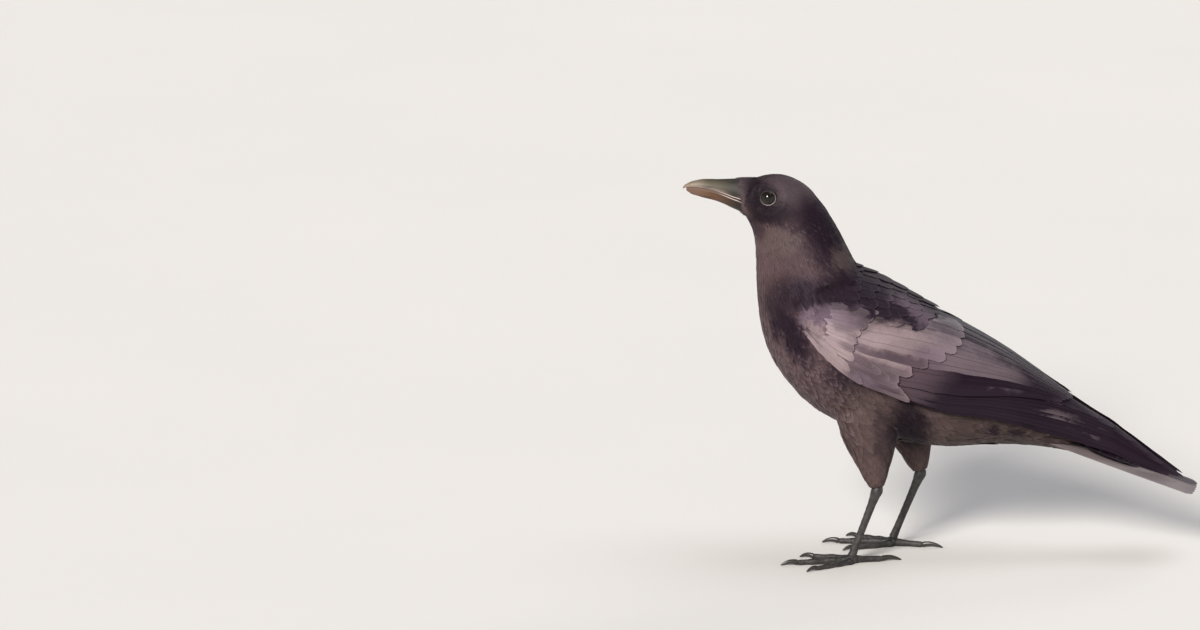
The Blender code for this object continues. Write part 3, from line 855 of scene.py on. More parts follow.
# The lie of the coat: at each place (x, out from the middle, z), the way the feathers run and how
# long they are.
combing = {
    "lore": ((-153, 10, 299), (1, 0.25, 0.12), 4.2),
    "forehead": ((-150, 0, 311), (1, 0, 0.25), 4.4),
    "crown": ((-128, 0, 314), (1, 0, -0.12), 4.8),
    "brow": ((-139, 16, 307), (1, 0, 0.05), 3.8),
    "eyeFront": ((-147, 14, 298), (0.9, 0.2, 0.2), 3.4),
    "eyeUnder": ((-140, 17, 289), (1, 0, -0.25), 4.0),
    "eyeBehind": ((-130, 18, 298), (1, 0, -0.2), 3.9),
    "cheek": ((-124, 19, 289), (0.85, 0.08, -0.55), 5.4),
    "hindCrown": ((-108, 0, 305), (0.8, 0, -0.7), 6.2),
    "sideCrown": ((-116, 18, 300), (0.9, 0, -0.5), 5.4),
    "chin": ((-159, 0, 283), (0.7, 0, -0.65), 4.2),
    "jaw": ((-150, 12, 282), (0.8, 0.05, -0.6), 4.4),
    "throat": ((-150, 0, 258), (0.12, 0, -1), 9.5),
    "throatSide": ((-138, 20, 266), (0.35, 0, -0.95), 8.5),
    "nape": ((-92, 0, 287), (0.5, 0, -0.87), 8.5),
    "neckSide": ((-113, 28, 252), (0.42, 0, -0.9), 9.5),
    "neckFront": ((-148, 0, 218), (0.04, 0, -1), 11.5),
    "neckLow": ((-112, 40, 220), (0.45, 0.08, -0.88), 11.5),
    "neckBack": ((-78, 0, 258), (0.62, 0, -0.78), 11),
    "mantle": ((-50, 0, 231), (0.86, 0, -0.5), 16),
    "mantleSide": ((-72, 34, 228), (0.86, 0.12, -0.48), 15),
    "breastTop": ((-143, 0, 180), (0.2, 0, -0.97), 15),
    "breastSide": ((-126, 40, 182), (0.42, 0.1, -0.9), 15),
    "bend": ((-118, 46, 205), (0.75, 0.2, -0.62), 11),
    "breastLow": ((-118, 0, 138), (0.68, 0, -0.73), 18),
    "breastFlank": ((-100, 42, 138), (0.72, 0, -0.66), 18),
    "belly": ((-62, 0, 102), (0.97, 0, -0.22), 21),
    "flank": ((-50, 42, 116), (0.88, 0, -0.42), 21),
    "bellyRear": ((0, 0, 89), (1, 0, 0.02), 22),
    "flankRear": ((10, 36, 104), (0.94, 0, -0.25), 22),
    "vent": ((52, 0, 91), (1, 0, 0.02), 22),
    "undertail": ((96, 10, 87), (0.96, 0.05, -0.18), 25),
    "rump": ((45, 0, 162), (0.86, 0, -0.5), 18),
    "uppertail": ((92, 0, 128), (0.86, 0, -0.48), 24),
    "back": ((-12, 0, 207), (0.86, 0, -0.5), 20),
    "scapulars": ((-38, 36, 210), (0.9, 0.05, -0.42), 24),
    "scapularsSide": ((-62, 46, 204), (0.9, 0.0, -0.42), 19),
    "scapularsRear": ((-8, 26, 196), (0.9, 0.0, -0.43), 28),
    "lesserFront": ((-116, 44, 198), (0.86, 0.12, -0.48), 8),
    "lesser": ((-98, 52, 188), (0.88, 0, -0.46), 10),
    "lesserRear": ((-74, 56, 172), (0.89, 0, -0.45), 13),
    "thighTop": ((-48, 32, 104), (0.55, 0.05, -0.83), 17),
    "thighRight": ((-14, 32, 100), (0.5, 0.05, -0.85), 17),
    "thigh": ((-50, 34, 82), (0.15, 0, -1), 14),
    "thighRear": ((-14, 34, 82), (0.12, 0, -1), 14),
    "ankleLeft": ((-51, 28, 62), (0, 0, -1), 10),
    "ankleRight": ((-14, 28, 62), (0, 0, -1), 10),
}
combPlaces = np.array([place for place, _, _ in combing.values()], float)
combWays = unit(np.array([way for _, way, _ in combing.values()], float))
combLengths = np.array([length for _, _, length in combing.values()], float)


def folded(points):
    # the same places, all on one side of the bird
    return points * (1, 0, 1) + np.abs(points) * (0, 1, 0)


def lieOfCoat(points):
    # the way the coat runs at these places, and how long its feathers are
    apart = ((folded(points)[:, None] - combPlaces[None]) ** 2).sum(axis=2)
    share = 1 / (apart + 12) ** 2
    share /= share.sum(axis=1, keepdims=True)
    way = share @ combWays
    way[:, 1] *= np.sign(points[:, 1])
    return unit(way), share @ combLengths


def coatDepth(points):
    least, share = skinShape["coatDepth"]
    return least + share * lieOfCoat(points)[1]


def wingFlesh(side):
    # the muscle and skin under the coverts, from the wing's outside down into the trunk
    tips = skinShape["wingTips"]
    front = skinShape["wingFront"]
    row = {"edges": "coverts", "count": len(tips)}
    at = np.linspace(-0.1, len(tips) + 0.4, 16)[None, :]
    ends = np.interp(at, np.arange(len(tips)) + 0.5, tips) - skinShape["wingEnds"]
    x = front + (ends - front) * np.linspace(0, 1, 24)[:, None]
    degrees = wingLine(row, at + 0 * x, x)
    top, _ = onWing(side, x, degrees, 0 * x)
    low, _ = onWing(side, x, degrees, 0 * x + skinShape["wingDeep"])
    return top, low


def slabFaces(rows, columns):
    # an upper and a lower grid, numbered one after the other and closed round their rims
    upper = np.arange(rows * columns).reshape(rows, columns)
    grids = (upper, upper + upper.size)
    rims = [np.concatenate((g[:, 0], g[-1, 1:], g[-2::-1, -1], g[0, -2::-1])) for g in grids]
    band = gridFaces(np.stack(rims))
    return np.concatenate((gridFaces(grids[0]), gridFaces(grids[1], flip=True), band))


def addPart(bm, part):
    spare = bpy.data.meshes.new("part")
    part.to_mesh(spare)
    part.free()
    bm.from_mesh(spare)


def fleshMesh():
    # every fleshy solid, a little swollen, with the balls that fill the sockets and the flesh of the
    # wings, in one mesh in millimetres
    bm = bmesh.new()
    for name in (*skinShape["nodes"], "eye_left", "eye_right"):
        part = bmesh.new()
        part.from_mesh(solids[name].data)
        bmesh.ops.scale(part, vec=(1 / mm,) * 3, verts=part.verts)
        bmesh.ops.remove_doubles(part, verts=part.verts, dist=skinShape["weld"])
        bmesh.ops.recalc_face_normals(part, faces=part.faces)
        part.normal_update()
        for vert in part.verts:
            vert.co += vert.normal * skinShape["swell"]
        addPart(bm, part)
    for side in sides.values():
        top, low = wingFlesh(side)
        slab = bpy.data.meshes.new("slab")
        points = np.concatenate((top, low)).reshape(-1, 3)
        slab.from_pydata(points.tolist(), [], slabFaces(*top.shape[:2]).tolist())
        part = bmesh.new()
        part.from_mesh(slab)
        bmesh.ops.recalc_face_normals(part, faces=part.faces)
        addPart(bm, part)
    mesh = bpy.data.meshes.new("flesh")
    bm.to_mesh(mesh)
    bm.free()
    return mesh


def remeshed(mesh, voxel):
    lump = bpy.data.objects.new("lump", mesh)
    bpy.context.scene.collection.objects.link(lump)
    step = lump.modifiers.new("voxels", "REMESH")
    step.mode = "VOXEL"
    step.voxel_size = voxel
    graph = bpy.context.evaluated_depsgraph_get()
    made = bpy.data.meshes.new_from_object(lump.evaluated_get(graph))
    bpy.data.objects.remove(lump)
    return made


def largestIsland(bm):
    unseen = set(bm.verts)
    best = set()
    while unseen:
        seed = unseen.pop()
        island = {seed}
        edge = [seed]
        while edge:
            vert = edge.pop()
            for link in vert.link_edges:
                other = link.other_vert(vert)
                if other in unseen:
                    unseen.discard(other)
                    island.add(other)
                    edge.append(other)
        if len(island) > len(best):
            best = island
    bmesh.ops.delete(bm, geom=[vert for vert in bm.verts if vert not in best], context="VERTS")


def eyePlace(side):
    # the middle of an eye and the way it looks
    mirror = np.array((1, side, 1))
    return np.array(eyeLook["centre"]) * mirror, np.array(eyeLook["gaze"]) * mirror


def sinkEye(bm, side):
    # the skin dips under the lids, so that their rims stand free all round
    centre, gaze = (Vector(row) for row in eyePlace(side))
    for vert in bm.verts:
        away = vert.co - centre
        if away.length > eyeLook["radius"] * eyeLook["socketReach"]:
            continue
        kept = np.interp(math.degrees(away.angle(gaze)), eyeLook["socket"], (0, 1))
        limit = eyeLook["radius"] - eyeLook["socketDeep"] + eyeLook["socketRise"] * kept**2
        if away.length > limit:
            vert.co = centre + away.normalized() * limit


def smoothMesh(bm, times):
    every = {"use_axis_x": True, "use_axis_y": True, "use_axis_z": True}
    for _ in range(times):
        bmesh.ops.smooth_vert(bm, verts=bm.verts, factor=0.5, **every)


def makeSkin():
    mesh = remeshed(fleshMesh(), skinShape["voxel"])
    bm = bmesh.new()
    bm.from_mesh(mesh)
    largestIsland(bm)
    smoothMesh(bm, skinShape["smoothing"])
    bm.normal_update()
    points = np.array([vert.co for vert in bm.verts])
    normals = np.array([vert.normal for vert in bm.verts])
    points -= normals * (coatDepth(points) + skinShape["swell"])[:, None]
    for vert, point in zip(bm.verts, points):
        vert.co = point
    smoothMesh(bm, skinShape["lastSmoothing"])
    for side in sides.values():
        sinkEye(bm, side)
    faces = [[vert.index for vert in face.verts] for face in bm.faces]
    points = np.array([vert.co for vert in bm.verts])
    bm.free()
    skin = newPiece("skin", points, faces, finishes["skin"], "plumage", skinShape["nodes"])
    print("crow: skin of", len(faces), "faces")
    return skin


def surfaceOf(mesh):
    # a mesh's points in millimetres, its normals and its triangles
    mesh.calc_loop_triangles()
    return (
        np.array([vert.co for vert in mesh.vertices]) / mm,
        np.array([vert.normal for vert in mesh.vertices]),
        np.array([triangle.vertices for triangle in mesh.loop_triangles]),
    )


skinPoints, skinNormals, skinTriangles = surfaceOf(makeSkin().data)


# What the coat lies on: the skin, the outside of the wings where the long feathers are, and the tail.
def wingBed(side):
    x = np.linspace(-60, 125, 38)[:, None]
    share = np.linspace(0, 1, 24)[None, :]
    degrees = 1 + (wingLimit("lowerEdge", x) - 4) * share
    place, out = onWing(side, x + 0 * share, degrees, 0 * degrees + 1.0)
    faces = gridFaces(np.arange(degrees.size).reshape(degrees.shape))
    triangles = np.concatenate((faces[:, (0, 1, 2)], faces[:, (0, 2, 3)]))
    return place.reshape(-1, 3), out.reshape(-1, 3), triangles


def coatBed():
    skin = (skinPoints, skinNormals, skinTriangles)
    layers = [skin, wingBed(-1), wingBed(1), surfaceOf(solids["tail"].data)]
    starts = np.cumsum([0] + [len(points) for points, _, _ in layers])
    points = np.concatenate([points for points, _, _ in layers])
    normals = np.concatenate([normals for _, normals, _ in layers])
    triangles = np.concatenate([layer[2] + start for layer, start in zip(layers, starts)])
    tree = BVHTree.FromPolygons(points.tolist(), triangles.tolist())
    return tree, unit(normals[triangles].mean(axis=1))


bedTree, bedNormals = coatBed()


def ontoBed(points, fallback, reach=4.0):
    # the nearest place on the bed and the way out there; a place with no bed near stays as it is
    places = points.copy()
    outs = fallback.copy()
    for i, point in enumerate(points):
        found, _, face, _ = bedTree.find_nearest(Vector(point), reach)
        if found is not None and bedNormals[face] @ fallback[i] > 0.5:
            places[i] = found
            outs[i] = bedNormals[face]
    return places, outs


def walkAlong(roots, outs, lengths, turns, steps):
    # each feather's shaft, walked from its root along the lie of the coat
    shafts = [roots]
    ways = []
    normals = [outs]
    for _ in range(steps):
        way, _ = lieOfCoat(shafts[-1])
        out = normals[-1]
        way = unit(way - out * (way * out).sum(axis=1, keepdims=True))
        across = np.cross(out, way)
        way = way * np.cos(turns)[:, None] + across * np.sin(turns)[:, None]
        ways.append(way)
        ahead = shafts[-1] + way * (lengths / steps)[:, None]
        place, out = ontoBed(ahead, out)
        shafts.append(place)
        normals.append(unit(out + normals[-1] * 0.7))
    ways.append(ways[-1])
    return np.stack(shafts, axis=1), np.stack(normals, axis=1), np.stack(ways, axis=1)


coatLook = {
    "spacing": 0.205,  # between roots, as a share of a feather's length
    "neckSpacing": 0.84,  # of that, where the hackles of the neck and throat lie closer
    "neckHeights": (186, 222, 262, 280),
    "headSpacing": 0.93,
    "headHeights": (268, 284),
    "tries": 3.2,  # places tried for each root that there is room for
    "nearest": 0.86,  # the least distance between roots, as a share of the spacing
    "width": 0.20,  # half width, as a share of the length
    "neckWidth": 0.82,
    "lengths": (0.88, 1.12),  # how much single feathers differ
    "lift": 0.10,  # how far a tip stands off the skin
    "steps": 5,
    "turn": 7,  # degrees that one feather may stray from the lie
}
# Where the skin stays bare: under the folded wings, under their coverts, at the bill and at the tail.
bareSkin = {
    "wing": (-119, 150),
    "wingSkin": 5,  # less deep than this under the wing's outside is the wing's own skin
    "lesserEnds": ((30, 60, 90, 103), (-61, -77, -92, -98)),  # degrees from the top, and x there
    "scapularEnd": -14,
    "mantle": (-82, 8),
    "bill": (-156.5, 287, 9),  # x, height and half width
    "tail": (84, 94),
}
eyeSpot = np.array(eyeLook["centre"]) + (0, eyeLook["radius"], 0)


def rootSpacing(points, length):
    look = coatLook
    onNeck = np.interp(points[:, 2], look["neckHeights"], (0, 1, 1, 0))
    onHead = np.interp(points[:, 2], look["headHeights"], (1, look["headSpacing"]))
    return length * look["spacing"] * onHead * (1 - (1 - look["neckSpacing"]) * onNeck)


def scatterRoots(seed):
    # evenly spread roots all over the skin, closer where the feathers are shorter
    rng = np.random.default_rng(seed)
    corners = skinPoints[skinTriangles]
    a, b, c = np.moveaxis(corners, 1, 0)
    area = np.linalg.norm(np.cross(b - a, c - a), axis=1) / 2
    _, length = lieOfCoat(corners.mean(axis=1))
    weight = area / rootSpacing(corners.mean(axis=1), length) ** 2
    tries = int(weight.sum() * coatLook["tries"])
    chosen = rng.choice(len(area), tries, p=weight / weight.sum())
    mix = rng.dirichlet((1, 1, 1), tries)[:, :, None]
    points = (corners[chosen] * mix).sum(axis=1)
    outs = unit((skinNormals[skinTriangles[chosen]] * mix).sum(axis=1))
    keep = rootWanted(points, outs)
    points = points[keep]
    outs = outs[keep]
    _, length = lieOfCoat(points)
    kept = spacedOut(points, rootSpacing(points, length) * coatLook["nearest"])
    return points[kept], outs[kept], length[kept], rng


def spacedOut(points, spacing):
    # takes the points in turn and leaves out any that is too near one already taken, in grids of
    # cells that grow with the spacing
    kept = []
    grids = {}
    growth = 1.4
    levels = np.floor(np.log(spacing) / math.log(growth)).astype(int)
    cells = growth ** (levels + 1.0)
    keys = np.floor(points / cells[:, None]).astype(int)
    around = [(i, j, k) for i in (-1, 0, 1) for j in (-1, 0, 1) for k in (-1, 0, 1)]
    for n, (point, near) in enumerate(zip(points.tolist(), (spacing**2).tolist())):
        grid = grids.setdefault(int(levels[n]), {})
        a, b, c = keys[n].tolist()
        clear = True
        for i, j, k in around:
            for x, y, z in grid.get((a + i, b + j, c + k), ()):
                if (x - point[0]) ** 2 + (y - point[1]) ** 2 + (z - point[2]) ** 2 < near:
                    clear = False
                    break
            if not clear:
                break
        if clear:
            grid.setdefault((a, b, c), []).append(point)
            kept.append(n)
    return np.array(kept)


def between(values, limits):
    return (values > limits[0]) & (values < limits[1])


def rootWanted(points, outs):
    # no feathers on the eyes and the bill's root, under a folded wing or under its greater coverts
    look = bareSkin
    degrees, depth = wingPlace(points)
    x = points[:, 0]
    border = wingLimit("scapulars", x)
    byEye = np.linalg.norm((folded(points) - eyeSpot) * (1, 0.3, 1), axis=1) < eyeLook["clear"]
    across = between(degrees, (wingLimit("coverts", x, 1) - 1, wingLimit("lowerEdge", x) + 1))
    deep = depth > look["wingSkin"]
    underWing = across & deep & between(x, look["wing"])
    lesserEnds = np.interp(degrees, *look["lesserEnds"])
    covertsFrom = np.where(degrees < border - 5, look["scapularEnd"], lesserEnds)
    underCoverts = across & ~deep & (x > covertsFrom)
    underMantle = (degrees < border - 2) & between(x, look["mantle"]) & (depth > -1.2)
    front, low, half = look["bill"]
    billRoot = (x < front) & (points[:, 2] > low) & (np.abs(points[:, 1]) < half)
    facingBill = (outs[:, 0] < -0.93) & (x < front + 0.5)
    rear, end = look["tail"]
    tailEnd = ((outs[:, 0] > 0.45) & (x > rear)) | (x > end)
    return ~(byEye | underWing | underCoverts | underMantle | billRoot | facingBill | tailEnd)


# Where the coat is parted into pieces: the last that fits takes a root.
def coatRegion(points):
    degrees, depth = wingPlace(points)
    x, y, z = points.T
    byWing = (depth < bareSkin["wingSkin"]) & between(x, (-121, 20))
    byWing &= between(degrees, (wingLimit("coverts", x, 1), wingLimit("lowerEdge", x) + 1))
    scapular = degrees < wingLimit("scapulars", x) - 5
    alongSpine = (x + 158) * 0.55 + (298 - z) * 0.85
    region = np.full(len(points), "belly", dtype=object)
    region[(z > 128) & (x < -60)] = "breast"
    region[(z > 150) & (x > -84) & (z > 190 - (x + 60) * 0.62)] = "mantle"
    region[(x > 40) & (z <= 128)] = "undertail"
    region[(x > 20) & (z > 118)] = "rump"
    region[(z > 205) & (x < -68) & (z > 205 + (x + 150) * 0.45)] = "neck"
    region[(alongSpine < 44) & (x < -95)] = "head"
    region[byWing] = "wing"
    region[byWing & scapular & (region != "neck")] = "mantle"
    region[(z < 93) & (np.abs(y) > 12) & (x < 22)] = "thighs"
    return region


templates = {
    # rows, columns, half widths along the feather, how round the tip is, how frayed it is, and how
    # much it arches and lifts
    "head": (4, 3, (0.45, 1.0, 1.0, 0.5), 0.40, 0.02, 0.65),
    "neck": (6, 5, (0.4, 0.8, 0.95, 0.85, 0.6, 0.3), 0.45, 0.05, 0.36),
    "body": (7, 7, (0.3, 0.7, 0.95, 1.0, 1.0, 0.95, 0.82), 0.30, 0.04, 0.62),
    "loose": (7, 9, (0.3, 0.7, 0.9, 0.95, 0.92, 0.84, 0.66), 0.30, 0.09, 0.55),
    "wing": (7, 7, (0.3, 0.7, 0.95, 1.02, 1.04, 1.0, 0.86), 0.24, 0.02, 0.55),
}
regionTemplates = {
    "head": "head",
    "neck": "neck",
    "breast": "body",
    "mantle": "wing",
    "belly": "loose",
    "undertail": "loose",
    "rump": "wing",
    "wing": "wing",
    "thighs": "loose",
}


def featherVanes(shafts, outs, ways, lengths, rng, template):
    # closed vanes over walked shafts, as grids for their upper and lower sides
    rows, columns, widths, roundness, fray, relief = templates[template]
    count, stations, _ = shafts.shape
    along = np.linspace(0, 1, rows) ** 0.85
    across = np.linspace(-1, 1, columns)
    ends = (1 - roundness * np.abs(across) ** 2.2)[None, :] + rng.normal(0, fray, (count, columns))
    reach = np.clip(along[None, :, None] * ends[:, None, :], 0, 1.12)
    at = np.clip(reach, 0, 1) * (stations - 1)
    low = np.clip(np.floor(at), 0, stations - 2).astype(int)
    share = (reach * (stations - 1) - low)[..., None]
    own = np.arange(count)[:, None, None]
    middle, out, way = (
        row[own, low] * (1 - share) + row[own, low + 1] * share for row in (shafts, outs, ways)
    )
    out, way = unit(out), unit(way)
    sideways = np.cross(out, way)
    half = lengths * coatLook["width"] * rng.uniform(0.9, 1.15, count)
    half = half * (coatLook["neckWidth"] if template == "neck" else 1)
    wide = half[:, None, None] * np.array(widths)[None, :, None] * across[None, None, :]
    crown = 1 - across**2
    lift = lengths * coatLook["lift"] * relief * rng.uniform(0.75, 1.3, count)
    sunk = np.minimum(0.25, 0.022 * lengths)[:, None, None]
    rise = lift[:, None, None] * (1.35 * reach - 0.35 * reach**3) - sunk
    rise = rise + half[:, None, None] * 0.2 * relief * crown[None, None, :]
    roll = rng.normal(0, 0.06, count)[:, None, None] * wide
    top = middle + sideways * wide[..., None] + out * (rise + roll)[..., None]
    thick = 0.10 + 0.006 * lengths[:, None, None, None]
    return top, top - out * thick, across, along


def unrolled(region, points):
    # roots on the skin's own unwrap: along the spine and round it, or down a leg and round it
    x, y, z = points.T
    if region == "thighs":
        middle = np.where(y < 0, -50, -18)
        around = np.degrees(np.arctan2(np.abs(y) - 28, x - middle)) + np.sign(y) * 180
        return np.stack((-z, around), axis=1)
    if region == "wing":
        degrees, _ = wingPlace(points)
        return np.stack((x, degrees * np.sign(y)), axis=1)
    around = np.degrees(np.arctan2(y, (z - 170) * 0.75 + (x + 60) * 0.66))
    return np.stack((x * 0.75 - z * 0.66, around), axis=1)


def makeCoat():
    roots, outs, lengths, rng = scatterRoots(11)
    lengths = lengths * rng.uniform(*coatLook["lengths"], len(lengths))
    turns = np.radians(rng.normal(0, coatLook["turn"], len(lengths)))
    shafts, normals, ways = walkAlong(roots, outs, lengths, turns, coatLook["steps"])
    region = coatRegion(roots)
    total = 0
    for name, template in regionTemplates.items():
        mine = region == name
        grids = featherVanes(shafts[mine], normals[mine], ways[mine], lengths[mine], rng, template)
        tint = rng.uniform(0, 1, mine.sum())
        places = patchesAt(unrolled(name, roots[mine]))
        finish = finishes["shoulder" if name in ("wing", "mantle") else "coat"]
        piece = joinVanes(f"coat_{name}", *grids, tint, places, finish, "plumage")
        triangles = 2 * len(piece.data.polygons)
        total += triangles
        print("crow: coat", name, int(mine.sum()), "feathers", triangles, "triangles")
    print("crow: coat of", total, "triangles")


makeCoat()


# Each row: the solid it stands for, where its feathers start, where their tips are from the wing's
# lower edge up, the edges it lies between, how many feathers fill that and from which one it starts,
# how deep they lie under the wing's outside, and how round their tips are. The reach is from the
# shaft to where the outer and the inner web would end in a point.
covertRow = {"edges": "coverts", "start": 0, "finish": "coverts"}
wingRows = {
    "primaries": {
        "node": "primaries",
        "root": -54,
        "tips": (184, 192, 196, 190, 179, 167, 154, 141, 128),
        "edges": "primaries",
        "count": 9,
        "start": 0,
        "depths": (5.0, 4.0, 2.6, 1.2),
        "roundness": 20,
        "reach": (1.3, 3.4),
        "inner": 2.6,
        "finish": "flight",
    },
    "secondaries": {
        "node": "secondaries",
        "root": -52,
        "tips": (97, 100, 103, 105, 106, 106, 103, 96, 83),
        "edges": "secondaries",
        "count": 9,
        "start": 0,
        "depths": (3.2, 1.6, 0.8, 0.7),
        "roundness": 9,
        "reach": (0.75, 1.7),
        "inner": 1.2,
        "finish": "flight",
    },
    "greater_coverts": {
        **covertRow,
        "node": "coverts",
        "root": -92,
        "tips": (-35, -25, -12, 2, 11, 15.5, 18, 18),
        "count": 10.5,
        "start": 1.3,
        "depths": (2.6, 1.3, 0.7, 0.3),
        "roundness": 8,
        "reach": (0.62, 1.5),
        "inner": 1,
    },
    "median_coverts": {
        **covertRow,
        "root": -104,
        "tips": (-71, -71, -69, -66, -61, -56, -51, -47),
        "count": 11.5,
        "start": 2.2,
        "depths": (2.6, 1.0, 0.3, -0.1),
        "roundness": 6,
        "reach": (0.62, 1.4),
        "inner": 1,
    },
    "primary_coverts": {
        **covertRow,
        "root": -106,
        "tips": (-27, -31, -36, -42, -49, -55),
        "count": 25,
        "depths": (2.6, 1.0, 0.5, 0.1),
        "roundness": 9,
        "reach": (0.8, 2.0),
        "inner": 1.3,
    },
    "alula": {
        **covertRow,
        "root": -118,
        "tips": (-64, -74, -84),
        "count": 17,
        "depths": (2.4, 0.4, -0.2, -0.4),
        "roundness": 8,
        "reach": (0.8, 1.7),
        "inner": 1.1,
    },
}
vaneShape = {
    "rows": 26,
    "shaftAt": 0.40,  # where the shaft lies between a feather's outer edge and the next feather
    "columns": (-0.1, 0.08, 0.24, 0.36, 0.40, 0.44, 0.6, 0.85, 1.1, 1.4, 1.7),
    "step": 0.22,  # how far the next feather stands over this one
    "thickness": 0.15,
    "shaftHeight": 0.10,
    "arch": 0.05,
    "tuck": 2.0,  # how far the scapulars press the feathers under them down
    "bites": (0.10, 0.08),  # how many places of the outer edge are frayed, and how deep
    "tipStray": 0.35,
    "lieStray": 0.035,
    "depthStray": 0.03,
}
# shares of the way from a long feather's root to its tip, closer together towards the tip
alongVane = 1 - (1 - np.linspace(0, 1, vaneShape["rows"])) ** 1.6


def frayed(rng, count, rows, columns):
    # small bites out of the outer edges
    share, deep = vaneShape["bites"]
    bites = np.zeros((count, rows, columns))
    edge = rng.random((count, rows)) < share
    bites[:, :, 0] = edge * rng.uniform(0.2, 1, (count, rows)) * deep
    return bites


def atDepths(depths):
    # how deep each row of a vane lies, from a few depths spread evenly from root to tip
    return np.interp(alongVane, np.linspace(0, 1, len(depths)), depths)[None, :, None]


def mantleRise(x, degrees):
    # the middle of the back between the shoulders stands a little over the wings' outside
    across = np.clip(1 - np.abs(degrees) / 42, 0, 1)
    return 2.7 * across * np.interp(x, (-62, -46, -18, 4), (1, 0.95, 0, -0.3))


def wingRow(sideName, rowName, look, rng):
    side = sides[sideName]
    t = alongVane
    tips = np.array(look["tips"], float)
    count = len(tips)
    shaft = vaneShape["shaftAt"]
    columns = np.array(vaneShape["columns"])
    columns = np.where(columns > 0.5, shaft + (columns - shaft) * look["inner"], columns)
    reach = np.where(columns < shaft, look["reach"][0], look["reach"][1])
    ends = tips[:, None] - look["roundness"] * (np.abs((columns - shaft) / reach) ** 2.2)[None, :]
    ends = ends + rng.normal(0, vaneShape["tipStray"], ends.shape)
    x = look["root"] + (ends[:, None, :] - look["root"]) * t[None, :, None]
    at = look["start"] + np.arange(count)[:, None, None] + columns[None, None, :] + 0 * x
    at = at + frayed(rng, count, len(t), len(columns))
    at = at + rng.normal(0, vaneShape["lieStray"], count)[:, None, None]
    degrees = wingLine(look, at, x)
    depth = atDepths(look["depths"]) + 0 * x
    arch = vaneShape["arch"] * np.clip(1 - ((columns - 0.45) / 0.6) ** 2, 0, 1)
    ridge = vaneShape["shaftHeight"] * (columns == shaft)
    depth = depth + (vaneShape["step"] * columns - arch)[None, None, :]
    depth = depth - ridge[None, None, :] * (1 - 0.7 * t)[None, :, None]
    depth = depth + rng.uniform(-1, 1, count)[:, None, None] * vaneShape["depthStray"]
    if look["edges"] == "scapulars":
        depth = depth - mantleRise(x, degrees)
    else:
        depth = depth + vaneShape["tuck"] * underScapulars(x, degrees)
    top, out = onWing(side, x, degrees, depth)
    low = top - out * vaneShape["thickness"]
    across = (columns - shaft) / np.where(columns < shaft, shaft - columns[0], columns[-1] - shaft)
    name = f"wing_{sideName}_{rowName}"
    finish = finishes[look["finish"]]
    tint = rng.uniform(0, 1, count)
    grids = (top, low, across / 2 + 0.5, t, tint)
    return joinVanes(name, *grids, cellsInGrid, finish, "flight_feathers", flip=side > 0)


# The mantle and the scapulars, one row behind the other from the neck to the small of the back:
# where the tips of a row are, how long its feathers are and how many there are on a side.
mantleLook = {
    "rows": ((-62, 22, 6), (-50, 25, 6), (-38, 27, 6), (-26, 29, 5), (-14, 30, 5), (-2, 31, 4)),
    "depths": (2.2, 1.1, 0.2, -0.5),
    "stray": 1.6,
    "sag": 5,  # how much further forward the outermost tip of a row is
    "middle": 7.5,  # half width of the feathers along the spine
    "middleRound": 5,
    "middleOver": 0.45,
    "middleStray": 1.5,  # in degrees
}


def mantleRow(number, tip, length, count, rng):
    stray = rng.normal(0, mantleLook["stray"], count)
    sag = -mantleLook["sag"] * (1 - np.arange(count) / count) ** 2
    return {
        "root": tip - length,
        "tips": tuple(tip + stray + sag),
        "edges": "scapulars",
        "count": count + 0.35 - 0.45 * (number % 2),
        "start": -0.45 * (number % 2),
        "depths": mantleLook["depths"],
        "roundness": 7,
        "reach": (0.6, 1.2),
        "inner": 0.73,
        "finish": "mantle",
    }


backVane = {
    "webs": np.linspace(-1, 1, 11),
    # how wide a feather is along its length
    "grow": np.interp(alongVane, (0, 0.3, 0.8, 1), (0.4, 0.9, 1, 0.9)),
    "arch": 0.35,
}


def joinBack(name, top, out, rng):
    low = top - out * vaneShape["thickness"]
    grids = (top, low, backVane["webs"] / 2 + 0.5, alongVane, rng.uniform(0, 1, len(top)))
    joinVanes(name, *grids, cellsInGrid, finishes["mantle"], "plumage", flip=True)


def makeSpine(rng):
    # one feather of each row lies along the spine, over the inner ends of both sides
    look = mantleLook
    webs, t = backVane["webs"], alongVane
    tips, lengths, _ = np.array(look["rows"])[:, :, None, None].swapaxes(0, 1)
    x = tips - lengths + (lengths - look["middleRound"] * np.abs(webs) ** 2.2) * t[:, None]
    wide = webs * backVane["grow"][:, None] * look["middle"]
    degrees = np.degrees(wide / wingLimit("sections", x))
    degrees = degrees + rng.normal(0, look["middleStray"], len(x))[:, None, None] * t[None, :, None]
    depth = atDepths(look["depths"]) - mantleRise(x, degrees)
    depth = depth - look["middleOver"] - backVane["arch"] * (1 - webs**2)
    joinBack("mantle_middle", *onWing(1, x, degrees, depth), rng)


# The feathers of the rump and over the root of the tail, in the gap between the folded wings.
rumpLook = {
    # x, height of the crest, half width, drop of the sides
    "shape": (
        (40, 170, 19, 7),
        (80, 141, 20, 6.5),
        (100, 125, 18, 15),
        (118, 108, 16, 15),
        (134, 95, 15, 10),
        (148, 85, 13, 6),
        (164, 77, 11, 3.5),
    ),
    # x of the tips of each row, and the length of its feathers
    "rows": ((84, 36), (96, 36), (108, 37), (120, 38), (132, 38), (143, 36), (153, 34), (162, 32)),
    "width": 8,
    "tipRound": 6,
    "stray": 1.2,
    "spineOver": 0.25,  # how far the middle feathers of a row stand over its outer ones
}


